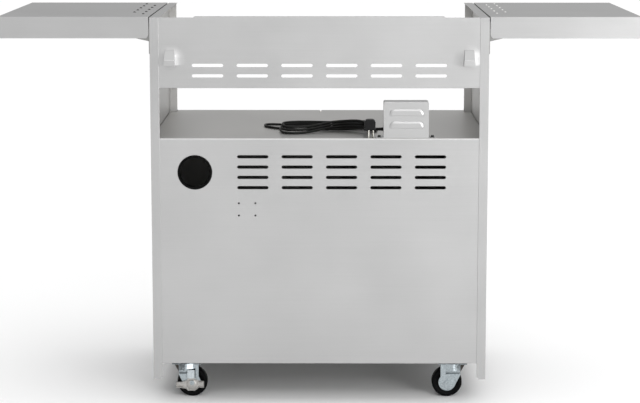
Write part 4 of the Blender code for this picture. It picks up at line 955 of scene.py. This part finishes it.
def dress_fork(name, x, wheel_x, inward, outward, braked):
    """Pressed fork: crown, two legs and the boss, with a window for the brake lever's tab."""
    low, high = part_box(name + "_fork")
    y = (low.y + high.y) / 2
    outer = (high.y - low.y) / 2
    inner = outer - FORK_SHEET
    crown = block((low.x, low.y, FORK_TOP - FORK_SHEET), (high.x, high.y, FORK_TOP))
    long_rims = [edge for edge in crown.edges
                 if abs(edge.verts[0].co.x - edge.verts[1].co.x) > 0.05
                 and edge.verts[0].co.z > FORK_TOP - 0.001]
    round_over(crown, long_rims, FORK_BEND)
    legs = []
    for hand in (-1, 1):
        outline = leg_outline(x, inward, hand == outward)
        leg = plate(outline, *sorted((y + hand * inner, y + hand * outer)))
        legs.append(rimmed(leg, STAMPED_RIM))
    boss = pressed_boss(x + inward * BOSS_OFFSET, y + outward * outer, outward)
    if braked:
        window = ((wheel_x - 0.0130, y - 0.030, WHEEL_RADIUS + 0.0105),
                  (wheel_x + 0.0080, y + 0.030, WHEEL_RADIUS + 0.0348))
        boss = cut_out(boss, *window)
        outer_leg = (outward + 1) // 2
        legs[outer_leg] = cut_out(legs[outer_leg], *window)
    fork = piece(name + "_pressed_fork", joined([crown, *legs, boss]), ZINC, name + "_swivel",
                 [name + "_fork"])
    # Painted shade: the legs' faces toward the wheel get a dark zinc
    refinish(fork, PAINTED_SHADE_ZINC, lambda face: abs(face.normal.y) > 0.9
             and abs(abs(face.center.y - y) - inner) < 0.0002)


def dress_wheel(name, centre, half):
    """Moulded wheel: bore, hub, dished side, and a rounded tread."""
    tread = half - 0.0005
    profile = [(0.0046, -half), (0.0100, -half), (0.0112, -half + 0.0010),
               (0.0112, -half + 0.0030), (0.0240, -half + 0.0034), (0.0262, -half + 0.0024),
               (0.0275, -tread + 0.0012), (0.0310, -tread), (0.0346, -tread + 0.0009),
               (0.0368, -tread + 0.0030), (0.0378, -tread + 0.0062), (WHEEL_RADIUS, -0.0040)]
    profile += [(radius, -along) for radius, along in reversed(profile)]
    piece(name + "_moulded_wheel", spun_ring(profile, centre, 72), TYRE, name + "_roller",
          [name + "_wheel"], crease=28.0)


def dress_brake(name, x):
    """Bow-tie brake lever: winged plate, domed middle, flared foot pads and upright tab."""
    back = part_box(name + "_brake_lever")[1].y
    face = back - LEVER_SHEET
    z = WHEEL_RADIUS
    outline = [(-0.0400, 0.0010), (-0.0262, 0.0022), (-0.0175, 0.0036), (-0.0112, 0.0080),
               (-0.0017, 0.0112), (0.0030, 0.0110), (0.0093, 0.0080), (0.0172, 0.0042),
               (0.0298, 0.0034), (0.0298, -0.0134), (0.0211, -0.0134), (0.0180, -0.0114),
               (0.0132, -0.0164), (0.0069, -0.0214), (-0.0104, -0.0214), (-0.0151, -0.0164),
               (-0.0270, -0.0146), (-0.0400, -0.0134)]
    bow = plate([(x + u, z + v) for u, v in outline], face, back)
    bmesh.ops.recalc_face_normals(bow, faces=bow.faces)
    rim = [side for side in bow.faces if side.normal.y < -0.9]
    bmesh.ops.inset_region(bow, faces=rim, thickness=0.0011, depth=0.0, use_even_offset=True)
    bmesh.ops.inset_region(bow, faces=rim, thickness=0.0008, depth=-0.0010,
                           use_even_offset=True)
    dome = bmesh.new()
    bmesh.ops.create_uvsphere(dome, u_segments=28, v_segments=16, radius=1.0)
    bmesh.ops.scale(dome, verts=dome.verts, vec=(0.0125, 0.0020, 0.0125))
    parts = [bow, moved(dome, (x - 0.0008, face, z - 0.0053))]
    for start, end, lip in ((-0.0400, -0.0225, 0.0042), (0.0165, 0.0298, 0.0036)):
        for level in (0.0006, -0.0118):
            wing = rectangle(x + start, x + end, z + level, z + level + 0.0016)
            parts.append(rimmed(plate(wing, face - lip, face + OFF_FACE), STAMPED_RIM))
    left, right = x - 0.0118, x + 0.0068
    tongue = plate(rectangle(left, right, z + 0.0115, z + 0.0336), face - 0.0057, face - 0.0043)
    foot = plate(rectangle(left, right, z + 0.0080, z + 0.0128), face - 0.0045, face + 0.0010)
    parts.append(rimmed(foot, STAMPED_RIM))
    piece(name + "_tongue", rimmed(tongue, STAMPED_RIM), TAB_ZINC, name + "_brake")
    piece(name + "_pressed_lever", joined(parts), LEVER_ZINC, name + "_brake",
          [name + "_brake_lever"])


def dress_caster(name, side, outward, braked):
    """Zinc-plated fork, moulded wheel, axle and plate, and the brake lever where there is one."""
    low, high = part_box(name + "_wheel")
    wheel_x = (low.x + high.x) / 2
    inward = -side
    dress_fork(name, wheel_x - inward * TRAIL, wheel_x, inward, outward, braked)
    dress_wheel(name, (wheel_x, (low.y + high.y) / 2, WHEEL_RADIUS), (high.y - low.y) / 2)
    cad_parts[name + "_axle"].data.materials[0] = ZINC
    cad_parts[name + "_plate"].data.materials[0] = ZINC
    if braked:
        dress_brake(name, wheel_x)


def dress_plain_nodes():
    """Floor and shelf brackets with flat faces, the brackets' dark tone partly painted shade in
    the gap beside each shelf; finishes of the CAD nodes shown as they are.
    """
    for node in ("floor_panel", "shelf_bracket_left", "shelf_bracket_right"):
        piece("flat_" + node, copy_of(node), DULL_STEEL_AND_PAINTED_SHADE, "cabinet", [node])
    finishes = {
        ZINC: ["hinge_top_left", "hinge_top_right", "hinge_bottom_left", "hinge_bottom_right",
               "strike_plate_left", "strike_plate_right"],
        NICKEL: ["plug_blade_left", "plug_blade_right", "plug_earth_pin"],
        PLASTIC: ["magnetic_catch"],
        CORE: ["transformer_core"],
    }
    for material, nodes in finishes.items():
        for node in nodes:
            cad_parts[node].data.materials[0] = material


def set_camera():
    """Camera at the photograph's place, tilted down to the cart; 36 mm wide sensor."""
    lens = bpy.data.cameras.new("photo_camera")
    lens.sensor_width = 36.0
    lens.lens = LENS_MM
    lens.shift_y = LENS_SHIFT
    camera = placed("photo_camera", lens)
    camera.location = CAMERA_SPOT
    camera.rotation_euler = (math.radians(90.0) - CAMERA_TILT, 0.0, CAMERA_TURN)
    bpy.context.scene.camera = camera


def set_floor():
    """Plain pale floor."""
    shape = bmesh.new()
    bmesh.ops.create_grid(shape, x_segments=1, y_segments=1, size=60.0)
    mesh = bpy.data.meshes.new("studio_floor")
    shape.to_mesh(mesh)
    shape.free()
    mesh.materials.append(bare_material("matt_white_floor_paint", 0.0, 0.9, "#f6f6f6")[0])
    placed("studio_floor", mesh)


def grey_ramp(world, source, steps):
    """Grey level that follows a value, from (position, level) pairs."""
    node = add_node(world, "ShaderNodeValToRGB", links={"Fac": source})
    ramp = node.color_ramp
    while len(ramp.elements) < len(steps):
        ramp.elements.new(0.5)
    for element, (position, level) in zip(ramp.elements, steps):
        element.position = position
        element.color = (level, level, level, 1.0)
    return node.outputs["Color"]


def share_between(world, source, low, high):
    """Share from 0 to 1 between two values of a source."""
    node = add_node(world, "ShaderNodeMapRange", values={"From Min": low, "From Max": high},
                    links={"Value": source})
    return node.outputs["Result"]


def set_dome():
    """Soft sky: dimmer low down on the doors' side, and brighter on the right than on the left."""
    world = bpy.data.worlds.new("studio_dome")
    world.use_nodes = True
    world.node_tree.nodes.clear()
    place = add_node(world, "ShaderNodeTexCoord")
    parts = add_node(world, "ShaderNodeSeparateXYZ", links={"Vector": place.outputs["Generated"]})
    height = parts.outputs["Z"]
    rear_sky = grey_ramp(world, height, ((0.00, 1.00), (0.20, 1.05), (0.50, 0.80), (0.90, 1.20)))
    door_sky = grey_ramp(world, height, ((0.035, 1.00), (0.085, 0.42), (0.35, 0.42),
                                         (0.70, 0.85), (0.95, 1.25)))
    sky = add_node(world, "ShaderNodeMix", {"data_type": "RGBA"},
                   links={"Factor": share_between(world, parts.outputs["Y"], -0.5, 0.5),
                          "A": rear_sky, "B": door_sky})
    across = add_node(world, "ShaderNodeMath", {"operation": "MULTIPLY_ADD"}, {1: 0.5, 2: 0.5},
                      {0: parts.outputs["X"]})
    aside = grey_ramp(world, across.outputs["Value"],
                      ((0.06, 0.45), (0.20, 0.83), (0.80, 1.15), (0.95, 1.25)))
    shade = add_node(world, "ShaderNodeMix", {"data_type": "RGBA", "blend_type": "MULTIPLY"},
                     {"Factor": 1.0}, {"A": sky.outputs["Result"], "B": aside})
    whole = add_node(world, "ShaderNodeMix", {"data_type": "RGBA"},
                     links={"Factor": share_between(world, height, 0.03, 0.09),
                            "A": sky.outputs["Result"], "B": shade.outputs["Result"]})
    glow = add_node(world, "ShaderNodeBackground", values={"Strength": 1.22},
                    links={"Color": whole.outputs["Result"]})
    add_node(world, "ShaderNodeOutputWorld", links={"Surface": glow.outputs["Background"]})
    bpy.context.scene.world = world


def set_softboxes():
    """Three soft lights: a broad one on the right, a low strip by the wheels, one above."""
    softboxes = {
        "softbox_right": ((3.4, -5.0, 1.6), (0.0, 0.0, 0.9), (2.4, 1.8), 95.0),
        "softbox_low": ((2.4, -2.9, 0.25), (0.0, -0.3, 0.08), (1.2, 0.35), 6.0),
        "softbox_above": ((0.4, -4.2, 3.2), (0.0, 0.0, 0.6), (3.4, 0.7), 34.0),
    }
    for name, (spot, target, size, power) in softboxes.items():
        light = bpy.data.lights.new(name, "AREA")
        light.shape = "RECTANGLE"
        light.size, light.size_y = size
        light.energy = power
        box = placed(name, light)
        box.location = spot
        aim = Vector(target) - box.location
        box.rotation_euler = aim.to_track_quat("-Z", "Y").to_euler()
        box.visible_camera = False


def set_studio():
    """Floor, sky and lights, shown without a tone curve."""
    set_floor()
    set_dome()
    set_softboxes()
    settings = bpy.context.scene.view_settings
    settings.view_transform = "Standard"
    settings.look = "None"


set_camera()
dress_cord()
dress_cabinet()
dress_shelves()
dress_doors()
dress_hooks()
dress_transformer()
dress_grommet()
for caster, (side_sign, outward_sign, has_brake) in CASTERS.items():
    dress_caster(caster, side_sign, outward_sign, has_brake)
dress_plain_nodes()
set_studio()
